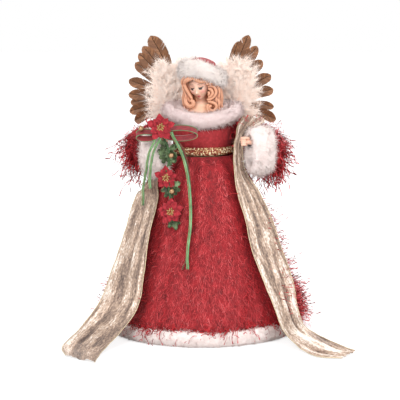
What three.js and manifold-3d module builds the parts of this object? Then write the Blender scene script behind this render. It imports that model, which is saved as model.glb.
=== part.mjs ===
// Angel tree topper: a card cone dressed in cloth, with a resin head, feather wings, a ribbon shawl
// and a spray of flowers. Millimetres, +Z up. The face looks along -Y and -X is the viewer's left.
// The origin is on the cone's axis, at its rim.
import * as THREE from 'three';
import { mergeVertices } from 'three/addons/utils/BufferGeometryUtils.js';
import Module from 'manifold-3d';

const wasm = await Module();
wasm.setup();

// Driving dimensions: lengths up the figure, and the heights above the rim that they add up to
const skirtLength = 246;
const bodiceLength = 37;
const yokeLength = 15;
const neckLength = 22;
const faceLength = 29;
const wingLength = 122;
const waistHeight = skirtLength;
const bodiceTopHeight = waistHeight + bodiceLength;
const shoulderHeight = bodiceTopHeight + yokeLength;
const chinHeight = shoulderHeight + neckLength;
const browHeight = chinHeight + faceLength;

// Driving dimensions: the body
const seatGap = 0.3;
const coneFootRadius = 126;
const coneTopRadius = 34;
const coneWall = 2.2;
const hemThickness = 11.5;
const hemRadius = coneFootRadius + hemThickness;
const hemHeight = 21;
const waistHalfWidth = 36;
const waistHalfDepth = 33;
const chestHalfWidth = 42;
const chestHalfDepth = 36;
const yokeHalfWidth = 35;
const yokeHalfDepth = 26;
const clothThickness = 3;
const braidHeight = 11;
const braidThickness = 2.4;

// Driving dimensions: ribbon, cord and small parts
const shawlThickness = 1.1;
const shawlSpread = 120;
const bowRibbonWidth = 10;
const bowRibbonThickness = 1.2;
const tailWidth = 5;
const wireRadius = 1.6;
const stemRadius = 1.2;
const berryRadius = 3.8;

const turn = Math.PI * 2;
const quarter = Math.PI / 2;
const weldTolerance = 1e-4;

// Finishes
function finish(color, roughness, metalness = 0) {
  return new THREE.MeshStandardMaterial({ color, roughness, metalness });
}
const finishes = {
  card: () => finish(0xcbb89a, 0.9),
  padding: () => finish(0xe9e2d8, 0.95),
  wood: () => finish(0xc9a26b, 0.7),
  steel: () => finish(0x9a9a9a, 0.4, 0.9),
  resin: () => finish(0xe0ab86, 0.55),
  whiteFur: () => finish(0xf2e9e6, 0.95),
  redCloth: () => finish(0xa52d32, 0.85),
  eyelash: () => finish(0xa8252f, 0.9),
  goldBraid: () => finish(0xbea55f, 0.45, 0.6),
  mesh: () => finish(0xbea582, 0.6, 0.3),
  feather: () => finish(0x96734f, 0.7, 0.1),
  down: () => finish(0xf5e6da, 0.95),
  felt: () => finish(0xb4203a, 0.85),
  gold: () => finish(0xc8a864, 0.35, 0.8),
  leaf: () => finish(0x4b6e41, 0.7),
  greenEdge: () => finish(0x5aa05f, 0.5),
};

// Geometry helpers

// Merges shared corners, drops faces that collapsed to a line, and turns the faces outwards.
function closed(geometry) {
  const bare = geometry.clone();
  bare.deleteAttribute('normal');
  bare.deleteAttribute('uv');
  const merged = mergeVertices(bare, weldTolerance);
  const index = merged.index.array;
  const kept = [];
  for (let i = 0; i < index.length; i += 3) {
    const [a, b, c] = [index[i], index[i + 1], index[i + 2]];
    if (a !== b && b !== c && c !== a) kept.push(a, b, c);
  }
  if (signedVolume(merged, kept) < 0) kept.reverse();
  merged.setIndex(kept);
  return merged;
}

function signedVolume(geometry, index) {
  const position = geometry.attributes.position;
  const [a, b, c] = [new THREE.Vector3(), new THREE.Vector3(), new THREE.Vector3()];
  let volume = 0;
  for (let i = 0; i < index.length; i += 3) {
    a.fromBufferAttribute(position, index[i]);
    b.fromBufferAttribute(position, index[i + 1]);
    c.fromBufferAttribute(position, index[i + 2]);
    volume += a.dot(b.cross(c));
  }
  return volume;
}

// Moves every corner of a unit shape to where `move` sends it.
function shaped(geometry, move) {
  const position = geometry.attributes.position;
  const point = new THREE.Vector3();
  for (let i = 0; i < position.count; i += 1) {
    point.fromBufferAttribute(position, i);
    const moved = move(point.clone());
    position.setXYZ(i, moved.x, moved.y, moved.z);
  }
  return closed(geometry);
}

function toSolid(geometry) {
  const clean = closed(geometry);
  return new wasm.Manifold(new wasm.Mesh({
    numProp: 3,
    vertProperties: new Float32Array(clean.attributes.position.array),
    triVerts: new Uint32Array(clean.index.array),
  }));
}

function toGeometry(solid) {
  const mesh = solid.getMesh();
  const geometry = new THREE.BufferGeometry();
  geometry.setAttribute('position', new THREE.BufferAttribute(new Float32Array(mesh.vertProperties), 3));
  geometry.setIndex(new THREE.BufferAttribute(new Uint32Array(mesh.triVerts), 1));
  return geometry;
}

function joined(geometries) {
  return toGeometry(geometries.map(toSolid).reduce((sum, solid) => sum.add(solid)));
}

function cutBy(geometry, tools) {
  return toGeometry(tools.map(toSolid).reduce((rest, tool) => rest.subtract(tool), toSolid(geometry)));
}

// The same surface moved outwards by a distance, to cut a seat with a clearance.
function grown(geometry, distance) {
  const clean = closed(geometry);
  clean.computeVertexNormals();
  const position = clean.attributes.position;
  const normal = clean.attributes.normal;
  for (let i = 0; i < position.count; i += 1) {
    position.setXYZ(
      i,
      position.getX(i) + normal.getX(i) * distance,
      position.getY(i) + normal.getY(i) * distance,
      position.getZ(i) + normal.getZ(i) * distance,
    );
  }
  return clean;
}

// A closed profile of [radius, height] pairs turned about the Z axis.
function turned(profile, sides) {
  const points = profile.map(([radius, height]) => new THREE.Vector2(radius, height));
  return closed(new THREE.LatheGeometry(points, sides).rotateX(quarter));
}

// An upright form built from levels of { z, halfWidth, halfDepth }.
function stacked(levels, sides) {
  const rows = levels.length - 1;
  return shaped(new THREE.CylinderGeometry(1, 1, 1, sides, rows), (p) => {
    const level = levels[Math.round((p.y + 0.5) * rows)];
    return new THREE.Vector3(p.x * level.halfWidth, p.z * level.halfDepth, level.z);
  });
}

// A smooth value along a list of values, for t from 0 to 1.
function along(values, t) {
  const last = values.length - 1;
  const place = THREE.MathUtils.clamp(t, 0, 1) * last;
  const low = Math.min(Math.floor(place), last - 1);
  return THREE.MathUtils.lerp(values[low], values[low + 1], place - low);
}

// A rounded form that follows a curve, with a half width and a half height at each share of it.
function swelling(points, halfWidths, halfHeights, sides, rows) {
  const curve = new THREE.CatmullRomCurve3(points);
  const up = new THREE.Vector3(0, 0, 1);
  return shaped(new THREE.SphereGeometry(1, sides, rows), (p) => {
    const t = Math.acos(THREE.MathUtils.clamp(-p.y, -1, 1)) / Math.PI;
    const ring = Math.sqrt(Math.max(0, 1 - p.y * p.y)) || 1;
    const forward = curve.getTangent(t);
    const across = new THREE.Vector3().crossVectors(forward, up).normalize();
    const lift = new THREE.Vector3().crossVectors(across, forward);
    const open = Math.hypot(p.x, p.z) > weldTolerance ? 1 : 0;
    return curve.getPoint(t)
      .addScaledVector(across, open * (p.x / ring) * along(halfWidths, t))
      .addScaledVector(lift, open * (p.z / ring) * along(halfHeights, t));
  });
}

// A band between two edge curves, with a thickness and a number of lengthwise folds.
function band(edgeA, edgeB, thickness, steps, foldCount, foldDepth) {
  const curveA = new THREE.CatmullRomCurve3(edgeA);
  const curveB = new THREE.CatmullRomCurve3(edgeB);
  const widthSteps = Math.max(1, foldCount * 2);
  return shaped(new THREE.BoxGeometry(1, 1, 1, widthSteps, 1, steps), (p) => {
    const t = p.z + 0.5;
    const a = curveA.getPoint(t);
    const b = curveB.getPoint(t);
    const across = b.clone().sub(a);
    const forward = curveA.getTangent(t).add(curveB.getTangent(t));
    const normal = new THREE.Vector3().crossVectors(forward, across).normalize();
    const fold = Math.abs(Math.round((p.x + 0.5) * widthSteps) % 2) * foldDepth;
    return a.addScaledVector(across, p.x + 0.5).addScaledVector(normal, p.y * thickness + fold);
  });
}

// A round rod along a curve through the given points.
function rod(points, radius, sides, steps) {
  const section = new THREE.Shape().absarc(0, 0, radius, 0, turn, false);
  const extrudePath = new THREE.CatmullRomCurve3(points);
  const settings = { steps, extrudePath, bevelEnabled: false, curveSegments: sides };
  return closed(new THREE.ExtrudeGeometry(section, settings));
}

function ball(radius, sides, rows) {
  return new THREE.SphereGeometry(radius, sides, rows);
}

// The skirt's outer surface, which most of the trimmings follow
const skirtHeightShares = [0, 0.081, 0.203, 0.366, 0.524, 0.70, 0.874, 0.96, 1];
const skirtRadiusShares = [0.995, 0.978, 0.905, 0.788, 0.693, 0.60, 0.482, 0.40, 0.33];

function skirtRadius(z) {
  const share = THREE.MathUtils.clamp(z / waistHeight, 0, 1);
  let i = 1;
  while (i < skirtHeightShares.length - 1 && skirtHeightShares[i] < share) i += 1;
  const span = skirtHeightShares[i] - skirtHeightShares[i - 1];
  const t = (share - skirtHeightShares[i - 1]) / span;
  return hemRadius * THREE.MathUtils.lerp(skirtRadiusShares[i - 1], skirtRadiusShares[i], t);
}

// A point that stands off the skirt by `lift`, at a bearing in degrees from the front towards +X.
function offSkirt(bearing, z, lift) {
  const angle = THREE.MathUtils.degToRad(bearing);
  const radius = skirtRadius(z) + lift;
  return new THREE.Vector3(radius * Math.sin(angle), -radius * Math.cos(angle), z);
}

const angel = new THREE.Group();
const parts = {};

function add(name, geometry, material) {
  const mesh = new THREE.Mesh(closed(geometry), material);
  mesh.name = name;
  parts[name] = mesh.geometry;
  angel.add(mesh);
  return mesh;
}

// Card cone, open below and closed at the waist
const coneSides = 36;
function coneRadius(z) {
  return THREE.MathUtils.lerp(coneFootRadius, coneTopRadius, z / waistHeight);
}
add('cone_body', turned([
  [0, waistHeight - coneWall],
  [coneTopRadius - coneWall, waistHeight - coneWall],
  [coneFootRadius - coneWall, 0],
  [coneFootRadius, 0],
  [coneTopRadius, waistHeight],
  [0, waistHeight],
], coneSides), finishes.card());

// Fur band round the foot
const hemInner = seatGap + coneWall;
const hemProfileShares = [[0.97, 0], [0.99, 0.25], [1, 0.5], [0.992, 0.8], [0.975, 1]];
add('hem_trim', turned([
  [coneRadius(hemHeight) + hemInner, hemHeight],
  [coneRadius(0) + seatGap, 0],
  ...hemProfileShares.map(([radiusShare, heightShare]) => [hemRadius * radiusShare, hemHeight * heightShare]),
  [coneRadius(hemHeight) + hemInner, hemHeight],
], coneSides), finishes.whiteFur());

// Eyelash skirt over its stiff underskirt, gathered in at the waist
const skirtFoot = hemHeight + seatGap;
const skirtTop = waistHeight - seatGap;
const skirtFoldCount = 9;
const skirtFoldShare = 0.022;
const skirtLevelShares = [0, 0.2, 0.5, 0.8, 0.94, 1];
const skirtLevels = skirtLevelShares.map((share) => THREE.MathUtils.lerp(skirtFoot, skirtTop, share));
const skirtShell = turned([
  [coneRadius(skirtTop) + seatGap, skirtTop],
  [coneRadius(skirtFoot) + seatGap, skirtFoot],
  ...skirtLevels.map((z) => [skirtRadius(z), z]),
  [coneRadius(skirtTop) + seatGap, skirtTop],
], skirtFoldCount * 4);
add('skirt', shaped(skirtShell, (p) => {
  const radius = Math.hypot(p.x, p.y);
  const inner = radius < coneRadius(p.z) + seatGap + coneWall;
  const depth = inner ? 0 : skirtFoldShare * (1 - p.z / waistHeight);
  const wave = Math.cos(Math.atan2(p.y, p.x) * skirtFoldCount);
  return p.multiply(new THREE.Vector3(1 + wave * depth, 1 + wave * depth, 1));
}), finishes.eyelash());

// Hidden frame: padded block on the cone, with a narrower yoke that the collar lies round
const blockFoot = waistHeight + seatGap;
const blockTop = shoulderHeight - seatGap;
const blockSides = 20;
const blockChest = { halfWidth: chestHalfWidth - clothThickness, halfDepth: chestHalfDepth };
const blockYoke = { halfWidth: yokeHalfWidth, halfDepth: yokeHalfDepth };
const blockShape = stacked([
  { z: blockFoot, halfWidth: waistHalfWidth, halfDepth: waistHalfDepth },
  { z: (blockFoot + bodiceTopHeight) / 2, ...blockChest },
  { z: bodiceTopHeight - clothThickness, ...blockChest },
  { z: bodiceTopHeight, ...blockYoke },
  { z: blockTop, ...blockYoke },
], blockSides);

// Arms: every place is a share of the reach, the forward length and the drop from the armhole
const armReach = 58;
const armForward = 70;
const armDrop = 50;
const armholeRise = 1;
const armholeHeight = bodiceTopHeight + armholeRise;
const wireSides = 2;
const wireSteps = 10;

function armPoint(side, [reachShare, forwardShare, dropShare]) {
  return new THREE.Vector3(
    side * (chestHalfWidth + armReach * reachShare),
    -armForward * forwardShare,
    armholeHeight - armDrop * dropShare,
  );
}
const armShares = {
  left: {
    wire: [
      [0.07, 0, 0], [0.5, 0.03, 0.25], [0.85, 0.2, 0.68], [0.5, 0.6, 0.7], [0.25, 0.8, 0.45], [0.19, 0.88, 0.3],
    ],
    fist: [0.172, 0.943, 0.24],
    cuff: [0.38, 0.714, 0.66],
  },
  right: {
    wire: [
      [0.07, 0, 0], [0.5, 0.03, 0.25], [0.88, 0.2, 0.6], [0.66, 0.6, 0.62], [0.34, 0.79, 0.42], [0.26, 0.83, 0.33],
    ],
    fist: [0.241, 0.857, 0.26],
    cuff: [0.63, 0.67, 0.58],
  },
};
const wirePoints = [
  ...armShares.left.wire.map((shares) => armPoint(-1, shares)).reverse(),
  new THREE.Vector3(0, 0, armholeHeight),
  ...armShares.right.wire.map((shares) => armPoint(1, shares)),
];
const wireStepCount = wireSteps * 4;
const wireShape = rod(wirePoints, wireRadius, wireSides, wireStepCount);
const wireBore = rod(wirePoints, wireRadius + seatGap, wireSides + 1, wireStepCount);
add('arm_wire', wireShape, finishes.steel());

// Peg between the block and the head
const pegRadius = 4;
const pegDepth = 36;
const pegReach = 12;
const pegFoot = shoulderHeight - pegDepth;
const pegTop = chinHeight + pegReach;
const pegSides = 10;
function peg(radius, low, high) {
  return turned([[0, low], [radius, low], [radius, high], [0, high]], pegSides);
}
const pegShape = peg(pegRadius, pegFoot, pegTop);
const pegBore = peg(pegRadius + seatGap, pegFoot - seatGap, pegTop + seatGap);
add('neck_post', cutBy(pegShape, [wireBore]), finishes.wood());
add('torso_core', cutBy(blockShape, [wireBore, pegBore]), finishes.padding());

// Fur rings: a tube whose centre line is an oval, deeper in front than behind, that rises and falls
function wreath({ halfWidth, frontDepth, backDepth, rise, radialHalf, axialHalf, sides, steps }) {
  return shaped(new THREE.TorusGeometry(1, 0.5, sides, steps), (p) => {
    const angle = Math.atan2(p.y, p.x);
    const outward = (Math.hypot(p.x, p.y) - 1) * 2 * radialHalf;
    const depth = p.y < 0 ? frontDepth : backDepth;
    return new THREE.Vector3(
      Math.cos(angle) * (halfWidth + outward),
      Math.sin(angle) * (depth + outward),
      rise(angle) + p.z * 2 * axialHalf(angle),
    );
  });
}

// Fur collar, low in front and high on the shoulders
const collarHalfWidth = 47;
const collarFrontDepth = 36.5;
const collarBackDepth = 34;
const collarRadialHalf = 8.5;
const collarAxialHalf = 10.5;
const collarRise = 8;
const collarFrontDrop = 12;
const collarDropPower = 1.6;
const collarShape = wreath({
  halfWidth: collarHalfWidth,
  frontDepth: collarFrontDepth,
  backDepth: collarBackDepth,
  rise: (angle) => shoulderHeight + collarRise - collarFrontDrop * Math.max(0, -Math.sin(angle)) ** collarDropPower,
  radialHalf: collarRadialHalf,
  axialHalf: () => collarAxialHalf,
  sides: 8,
  steps: 24,
});
const collar = cutBy(collarShape, [grown(blockShape, seatGap)]);
add('collar_trim', collar, finishes.whiteFur());

// Plain bodice over the block, cut away under the collar
const bodiceFoot = waistHeight + seatGap;
const waistCloth = { halfWidth: waistHalfWidth + clothThickness, halfDepth: waistHalfDepth + clothThickness };
const chestCloth = { halfWidth: chestHalfWidth, halfDepth: chestHalfDepth + clothThickness };
const yokeCloth = { halfWidth: yokeHalfWidth + clothThickness, halfDepth: yokeHalfDepth + clothThickness };
const bodiceShape = stacked([
  { z: bodiceFoot, ...waistCloth },
  { z: (blockFoot + bodiceTopHeight) / 2, ...chestCloth },
  { z: bodiceTopHeight - clothThickness, ...chestCloth },
  { z: bodiceTopHeight + clothThickness, ...yokeCloth },
  { z: blockTop - clothThickness, ...yokeCloth },
], blockSides);
const bodice = cutBy(bodiceShape, [grown(blockShape, seatGap), grown(collarShape, seatGap), wireBore]);
add('bodice', bodice, finishes.redCloth());

// Gold braid over the waist seam
const braidShape = stacked([bodiceFoot, bodiceFoot + braidHeight].map((z) => ({
  z,
  halfWidth: waistCloth.halfWidth + braidThickness,
  halfDepth: waistCloth.halfDepth + braidThickness,
})), blockSides);
add('waist_braid', cutBy(braidShape, [grown(bodiceShape, seatGap)]), finishes.goldBraid());

// Sleeves: wide soft bells from the armhole to the cuff
const sleeveHalfWidth = 27;
const sleeveHalfHeight = 33;
const sleeveRouteShares = [
  [0.1, -0.05, 0.1], [0.35, -0.04, 0.3], [0.66, 0.03, 0.56], [0.9, 0.17, 0.78], [0.93, 0.31, 0.88],
];
const sleeveWidthShares = [0.3, 0.66, 0.84, 0.9, 0.7];
const sleeveHeightShares = [0.3, 0.6, 0.84, 0.95, 0.75];
function sleeve(side) {
  const shape = swelling(
    sleeveRouteShares.map((shares) => armPoint(side, shares)),
    sleeveWidthShares.map((share) => share * sleeveHalfWidth),
    sleeveHeightShares.map((share) => share * sleeveHalfHeight),
    12,
    7,
  );
  return cutBy(shape, [grown(bodiceShape, seatGap), grown(collarShape, seatGap), wireBore]);
}

// Cuffs: deep fur bands round the forearms, which point forwards and in
const cuffHalfWidth = 11;
const cuffHalfHeight = 26;
const cuffRadialHalf = 8;
const cuffAxialHalf = 19;
const cuffTurn = THREE.MathUtils.degToRad(59);
function cuff(side, centre) {
  const ring = wreath({
    halfWidth: cuffHalfWidth,
    frontDepth: cuffHalfHeight,
    backDepth: cuffHalfHeight,
    rise: () => 0,
    radialHalf: cuffRadialHalf,
    axialHalf: () => cuffAxialHalf,
    sides: 7,
    steps: 16,
  });
  ring.rotateX(quarter).rotateZ(-side * cuffTurn);
  return ring.translate(centre.x, centre.y, centre.z);
}

// Fists: a palm, four curled fingers, a thumb and a wrist that takes the wire
const palmRadius = 4.6;
const fingerRadius = 1.5;
const fingerShares = [-0.75, -0.27, 0.21, 0.69];
const fingerForward = palmRadius * 0.62;
const fingerDepthShare = 1.5;
function fist(side, centre, wrist) {
  const palm = ball(palmRadius, 7, 5).scale(1, 0.9, 1.15);
  const fingers = fingerShares.map((share) => {
    const finger = ball(fingerRadius, 5, 4).scale(1.9, fingerDepthShare, 1);
    return finger.translate(-side * palmRadius * 0.45, -fingerForward, palmRadius * share);
  });
  const thumb = ball(fingerRadius, 5, 4).scale(1.2, 1.2, 1.9);
  thumb.translate(side * palmRadius * 0.5, -palmRadius * 0.75, palmRadius * 0.6);
  const hand = [palm, ...fingers, thumb].map((piece) => piece.translate(centre.x, centre.y, centre.z));
  const arm = rod([centre, centre.clone().lerp(wrist, 0.5), wrist], palmRadius * 0.72, 3, 2);
  return cutBy(joined([...hand, arm]), [wireBore]);
}

for (const [name, side] of [['left', -1], ['right', 1]]) {
  const shares = armShares[name];
  const centre = armPoint(side, shares.cuff);
  const ring = cuff(side, centre);
  const hand = fist(side, armPoint(side, shares.fist), armPoint(side, shares.wire[4]));
  add(`sleeve_${name}`, cutBy(sleeve(side), [grown(ring, seatGap * 2)]), finishes.eyelash());
  add(`cuff_${name}`, cutBy(ring, [wireBore, grown(hand, seatGap)]), finishes.whiteFur());
  add(`hand_${name}`, hand, finishes.resin());
}

// Hat: fur band that droops to one side, and a soft crown inside it
const brimHalfWidth = 26.5;
const brimFrontDepth = 29;
const brimBackDepth = 22;
const brimRadialHalf = 6.5;
const brimAxialHalf = 12.5;
const brimRise = 14.5;
const brimDroop = 6.5;
const brimSag = 9;
const brimSwellShare = 0.1;
const brimShape = wreath({
  halfWidth: brimHalfWidth,
  frontDepth: brimFrontDepth,
  backDepth: brimBackDepth,
  rise: (angle) => browHeight + brimRise - brimDroop * Math.cos(angle) - brimSag * Math.cos(angle) ** 2,
  radialHalf: brimRadialHalf,
  axialHalf: (angle) => brimAxialHalf * (1 - brimSwellShare * Math.cos(angle)),
  sides: 8,
  steps: 24,
});
add('hat_brim', brimShape, finishes.whiteFur());

const crownHalfWidth = 20;
const crownLift = 8;
const crownHeight = 21.5;
const crownFoot = browHeight + crownLift;
const crownTop = crownFoot + crownHeight;
const crownLevelShares = [[0, 0.9], [0.5, 1], [0.85, 0.85], [1, 0.45]];
const crownShape = stacked(crownLevelShares.map(([heightShare, widthShare]) => ({
  z: THREE.MathUtils.lerp(crownFoot, crownTop, heightShare),
  halfWidth: crownHalfWidth * widthShare,
  halfDepth: crownHalfWidth * widthShare,
})), 20);
const crown = cutBy(crownShape, [grown(brimShape, seatGap)]);
add('hat_crown', crown, finishes.redCloth());

// Resin head: skull, face, neck, breastplate and moulded hair, cast in one
const plateHalfWidth = 32;
const plateHalfDepth = 23.5;
const neckRadius = 8.5;
const skullHalfWidth = 17;
const faceHalfWidth = 12.3;
const faceOffset = 4;
const faceHeight = (chinHeight + browHeight) / 2;
const faceHalfHeight = (browHeight - chinHeight) / 2 + seatGap;
const hairHalfWidth = 22.5;
const hairReach = 7;
const plateLevelShares = [[0, 1, 1], [0.3, 0.92, 0.92], [0.55, 0.55, 0.6]];
const plate = stacked([
  ...plateLevelShares.map(([heightShare, widthShare, depthShare]) => ({
    z: THREE.MathUtils.lerp(shoulderHeight, chinHeight, heightShare),
    halfWidth: plateHalfWidth * widthShare,
    halfDepth: plateHalfDepth * depthShare,
  })),
  { z: THREE.MathUtils.lerp(shoulderHeight, chinHeight, 0.75), halfWidth: neckRadius, halfDepth: neckRadius },
  { z: faceHeight, halfWidth: neckRadius, halfDepth: neckRadius },
], 14);
const skull = ball(1, 12, 8).rotateX(quarter).scale(skullHalfWidth, skullHalfWidth * 1.05, skullHalfWidth * 1.2);
skull.translate(0, -skullHalfWidth * 0.25, browHeight - skullHalfWidth * 0.5);
const face = ball(1, 12, 9).rotateX(quarter).scale(faceHalfWidth, faceHalfWidth, faceHalfHeight * 1.05);
face.translate(-faceOffset, -faceHalfWidth * 1.15, faceHeight);
const nose = ball(1, 6, 5).scale(faceHalfWidth * 0.14, faceHalfWidth * 0.22, faceHalfHeight * 0.22);
nose.translate(-faceOffset * 1.4, -faceHalfWidth * 2.13, faceHeight - faceHalfHeight * 0.12);
const backHair = ball(1, 12, 8).rotateX(quarter).scale(hairHalfWidth, hairHalfWidth * 0.66, hairHalfWidth * 1.2);
backHair.translate(0, hairHalfWidth * 0.14, faceHeight);
const lockRouteShares = [
  [-0.12, -0.95, 0.62], [0.62, -0.75, 0.42], [0.92, -0.35, -0.1], [0.84, -0.5, -0.75], [0.72, -0.8, -1.25],
];
const lockWidthShares = [0.35, 0.75, 0.8, 0.95, 0.6];
function lock(side) {
  const points = lockRouteShares.map(([acrossShare, depthShare, heightShare]) => new THREE.Vector3(
    side * hairHalfWidth * acrossShare,
    hairHalfWidth * depthShare,
    faceHeight + hairHalfWidth * heightShare,
  ));
  const halfWidths = lockWidthShares.map((share) => share * hairReach);
  return swelling(points, halfWidths, halfWidths, 6, 6);
}
const bust = joined([plate, skull, face, nose, backHair, lock(-1), lock(1)]);
const headTools = [grown(brimShape, seatGap), grown(crownShape, seatGap), grown(collarShape, seatGap), pegBore];
add('head_bust', cutBy(bust, headTools), finishes.resin());

// Wings: card backing with a root block, fanned flight feathers in three layers, and down in front
const wingBack = 46;
const backingThickness = 2;
const wingHalfSpan = 104;
const wingFootRise = 1;
const wingFootHeight = bodiceTopHeight + wingFootRise;
const featherWidth = 17;
const quillThickness = 1;
const featherLayerPitch = 1.4;
const featherLayerCount = 3;
const featherBow = 5;
const rootUpperAcross = 38;
const rootUpperRise = 39;
const rootUpperHeight = bodiceTopHeight + rootUpperRise;
const rootLowerAcross = 50;
const rootLowerRise = 14;
const rootLowerHeight = bodiceTopHeight + rootLowerRise;
const quillTaperShare = 1.3;
const vaneShares = [0.14, 0.2, 0.5, 0.82, 1, 0.98, 0.78, 0.1];
const featherSets = {
  left: [
    [0.71, 0.99, 1.3], [0.81, 0.87, 1], [0.865, 0.79, 1], [0.915, 0.68, 1], [1, 0.48, 0.95],
    [1, 0.33, 0.9], [0.975, 0.235, 0.85], [0.99, 0.13, 0.9], [0.925, 0.02, 0.9],
  ],
  right: [
    [0.49, 0.93, 0.6], [0.63, 1, 1], [0.74, 0.875, 1], [0.81, 0.71, 1], [0.92, 0.55, 1],
    [0.955, 0.385, 0.95], [0.97, 0.18, 0.7], [1, 0.035, 0.9],
  ],
};

function feather(side, index, count, [acrossShare, heightShare, widthShare]) {
  const place = index / (count - 1);
  const tip = new THREE.Vector3(
    side * wingHalfSpan * acrossShare,
    0,
    wingFootHeight + wingLength * heightShare,
  );
  const root = new THREE.Vector3(
    side * THREE.MathUtils.lerp(rootUpperAcross, rootLowerAcross, place),
    0,
    THREE.MathUtils.lerp(rootUpperHeight, rootLowerHeight, place),
  );
  const layer = wingBack - seatGap - quillThickness / 2 - (index % featherLayerCount) * featherLayerPitch;
  const shaft = tip.clone().sub(root);
  const across = new THREE.Vector3(shaft.z, 0, -shaft.x).normalize();
  return shaped(new THREE.BoxGeometry(1, 1, 1, 2, 1, vaneShares.length - 1), (p) => {
    const t = p.z + 0.5;
    const bow = -side * featherBow * Math.sin(Math.PI * t);
    const width = featherWidth * widthShare * along(vaneShares, t) * p.x;
    const point = root.clone().addScaledVector(shaft, t).addScaledVector(across, bow + width);
    const thickness = quillThickness * (1 - Math.abs(p.x) * quillTaperShare);
    return point.setY(layer + p.y * thickness);
  });
}

const backingHalfWidth = 20;
const backingHalfHeight = 30;
const blockInner = 5;
const blockOuter = 24;
const blockDrop = 21;
const blockRise = 8;
const blockLow = bodiceTopHeight - blockDrop;
const blockHigh = bodiceTopHeight + blockRise;
const rootMiddleHeight = (rootUpperHeight + rootLowerHeight) / 2;
function backing(side) {
  const oval = new THREE.Shape().absellipse(0, 0, backingHalfWidth, backingHalfHeight, 0, turn, false);
  const card = new THREE.ExtrudeGeometry(oval, { depth: backingThickness, bevelEnabled: false, curveSegments: 10 });
  card.rotateX(quarter).translate(side * rootUpperAcross, wingBack + backingThickness, rootMiddleHeight);
  const blockDepth = wingBack + backingThickness;
  const block = new THREE.BoxGeometry(blockOuter - blockInner, blockDepth, blockHigh - blockLow);
  block.translate(side * (blockInner + blockOuter) / 2, blockDepth / 2, (blockLow + blockHigh) / 2);
  return cutBy(joined([card, block]), [grown(bodiceShape, seatGap), grown(collarShape, seatGap)]);
}

const downHalfWidth = 28;
const downHalfHeight = 45;
const downDepth = 11;
const downAcross = 55.2;
const downLean = THREE.MathUtils.degToRad(12);
const downLevelShares = [[0, 0.94], [0.3, 1], [0.65, 0.84], [0.9, 0.5], [1, 0.16]];
const downBack = wingBack - featherLayerCount * featherLayerPitch - seatGap;
function downPad(side) {
  const pad = stacked(downLevelShares.map(([depthShare, sizeShare]) => ({
    z: downDepth * depthShare,
    halfWidth: downHalfWidth * sizeShare,
    halfDepth: downHalfHeight * sizeShare,
  })), 18);
  pad.rotateX(quarter).rotateY(side * downLean);
  return pad.translate(side * downAcross, downBack, rootMiddleHeight + backingHalfHeight / 2);
}

for (const [name, side] of [['left', -1], ['right', 1]]) {
  const set = featherSets[name];
  add(`wing_backing_${name}`, backing(side), finishes.card());
  set.forEach((shares, i) => {
    add(`feather_${name}_${i + 1}`, feather(side, i, set.length, shares), finishes.feather());
  });
  const tools = [grown(collarShape, seatGap), grown(parts[`sleeve_${name}`], seatGap)];
  add(`down_${name}`, cutBy(downPad(side), tools), finishes.down());
}

// Ribbon shawl: each station has a bearing, a height share and a lift share for both edges,
// from the floor on the left, behind the waist, over the right shoulder and down to the floor
const shawlRise = 2;
const shawlHeight = shoulderHeight + shawlRise;
const shawlStationShares = [
  [-33, 0.006, 0.98, -45, 0.006, 0.974],
  [-38, 0.009, 0.672, -54, 0.01, 0.78],
  [-40, 0.074, 0.299, -60, 0.064, 0.46],
  [-38, 0.178, 0.139, -60, 0.18, 0.31],
  [-40, 0.318, 0.138, -65, 0.30, 0.24],
  [-43, 0.49, 0.118, -70, 0.465, 0.18],
  [-49, 0.633, 0.04, -74, 0.62, 0.161],
  [-60, 0.687, 0.022, -77, 0.653, 0.107],
  [-67, 0.74, 0.044, -82, 0.683, 0.066],
  [-110, 0.793, 0.091, -108, 0.7, 0.04],
  [-166, 0.82, 0.12, -167, 0.727, 0.061],
  [140, 0.887, 0.12, 138, 0.793, 0.16],
  [121, 0.953, 0.109, 114, 0.887, 0.298],
  [103, 0.985, 0.084, 98, 0.97, 0.322],
  [82, 0.983, 0.078, 83, 0.963, 0.328],
  [60, 0.95, 0.085, 73, 0.945, 0.24],
  [44, 0.905, 0.16, 58, 0.905, 0.2],
  [38, 0.86, 0.2, 49, 0.86, 0.225],
  [37, 0.76, 0.1, 54, 0.753, 0.094],
  [37, 0.67, 0.049, 61, 0.663, 0.121],
  [38, 0.544, 0.074, 66, 0.525, 0.144],
  [38, 0.413, 0.096, 66, 0.394, 0.174],
  [40, 0.283, 0.133, 67, 0.247, 0.168],
  [41, 0.177, 0.175, 64, 0.132, 0.14],
  [40, 0.074, 0.282, 58, 0.058, 0.25],
  [40, 0.016, 0.548, 53, 0.036, 0.594],
  [39, 0.008, 0.832, 51, 0.025, 0.822],
  [43, 0.006, 1.07, 52, 0.008, 0.989],
];
const shawlEdges = [0, 3].map((k) => shawlStationShares.map((row) => (
  offSkirt(row[k], shawlHeight * row[k + 1], shawlSpread * row[k + 2])
)));
const shawlFoldDepth = 1.6;
const shawlStepCount = 48;
const shawlFoldCount = 2;
const shawl = band(shawlEdges[0], shawlEdges[1], shawlThickness, shawlStepCount, shawlFoldCount, shawlFoldDepth);
add('shawl_ribbon', shawl, finishes.mesh());

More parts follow.
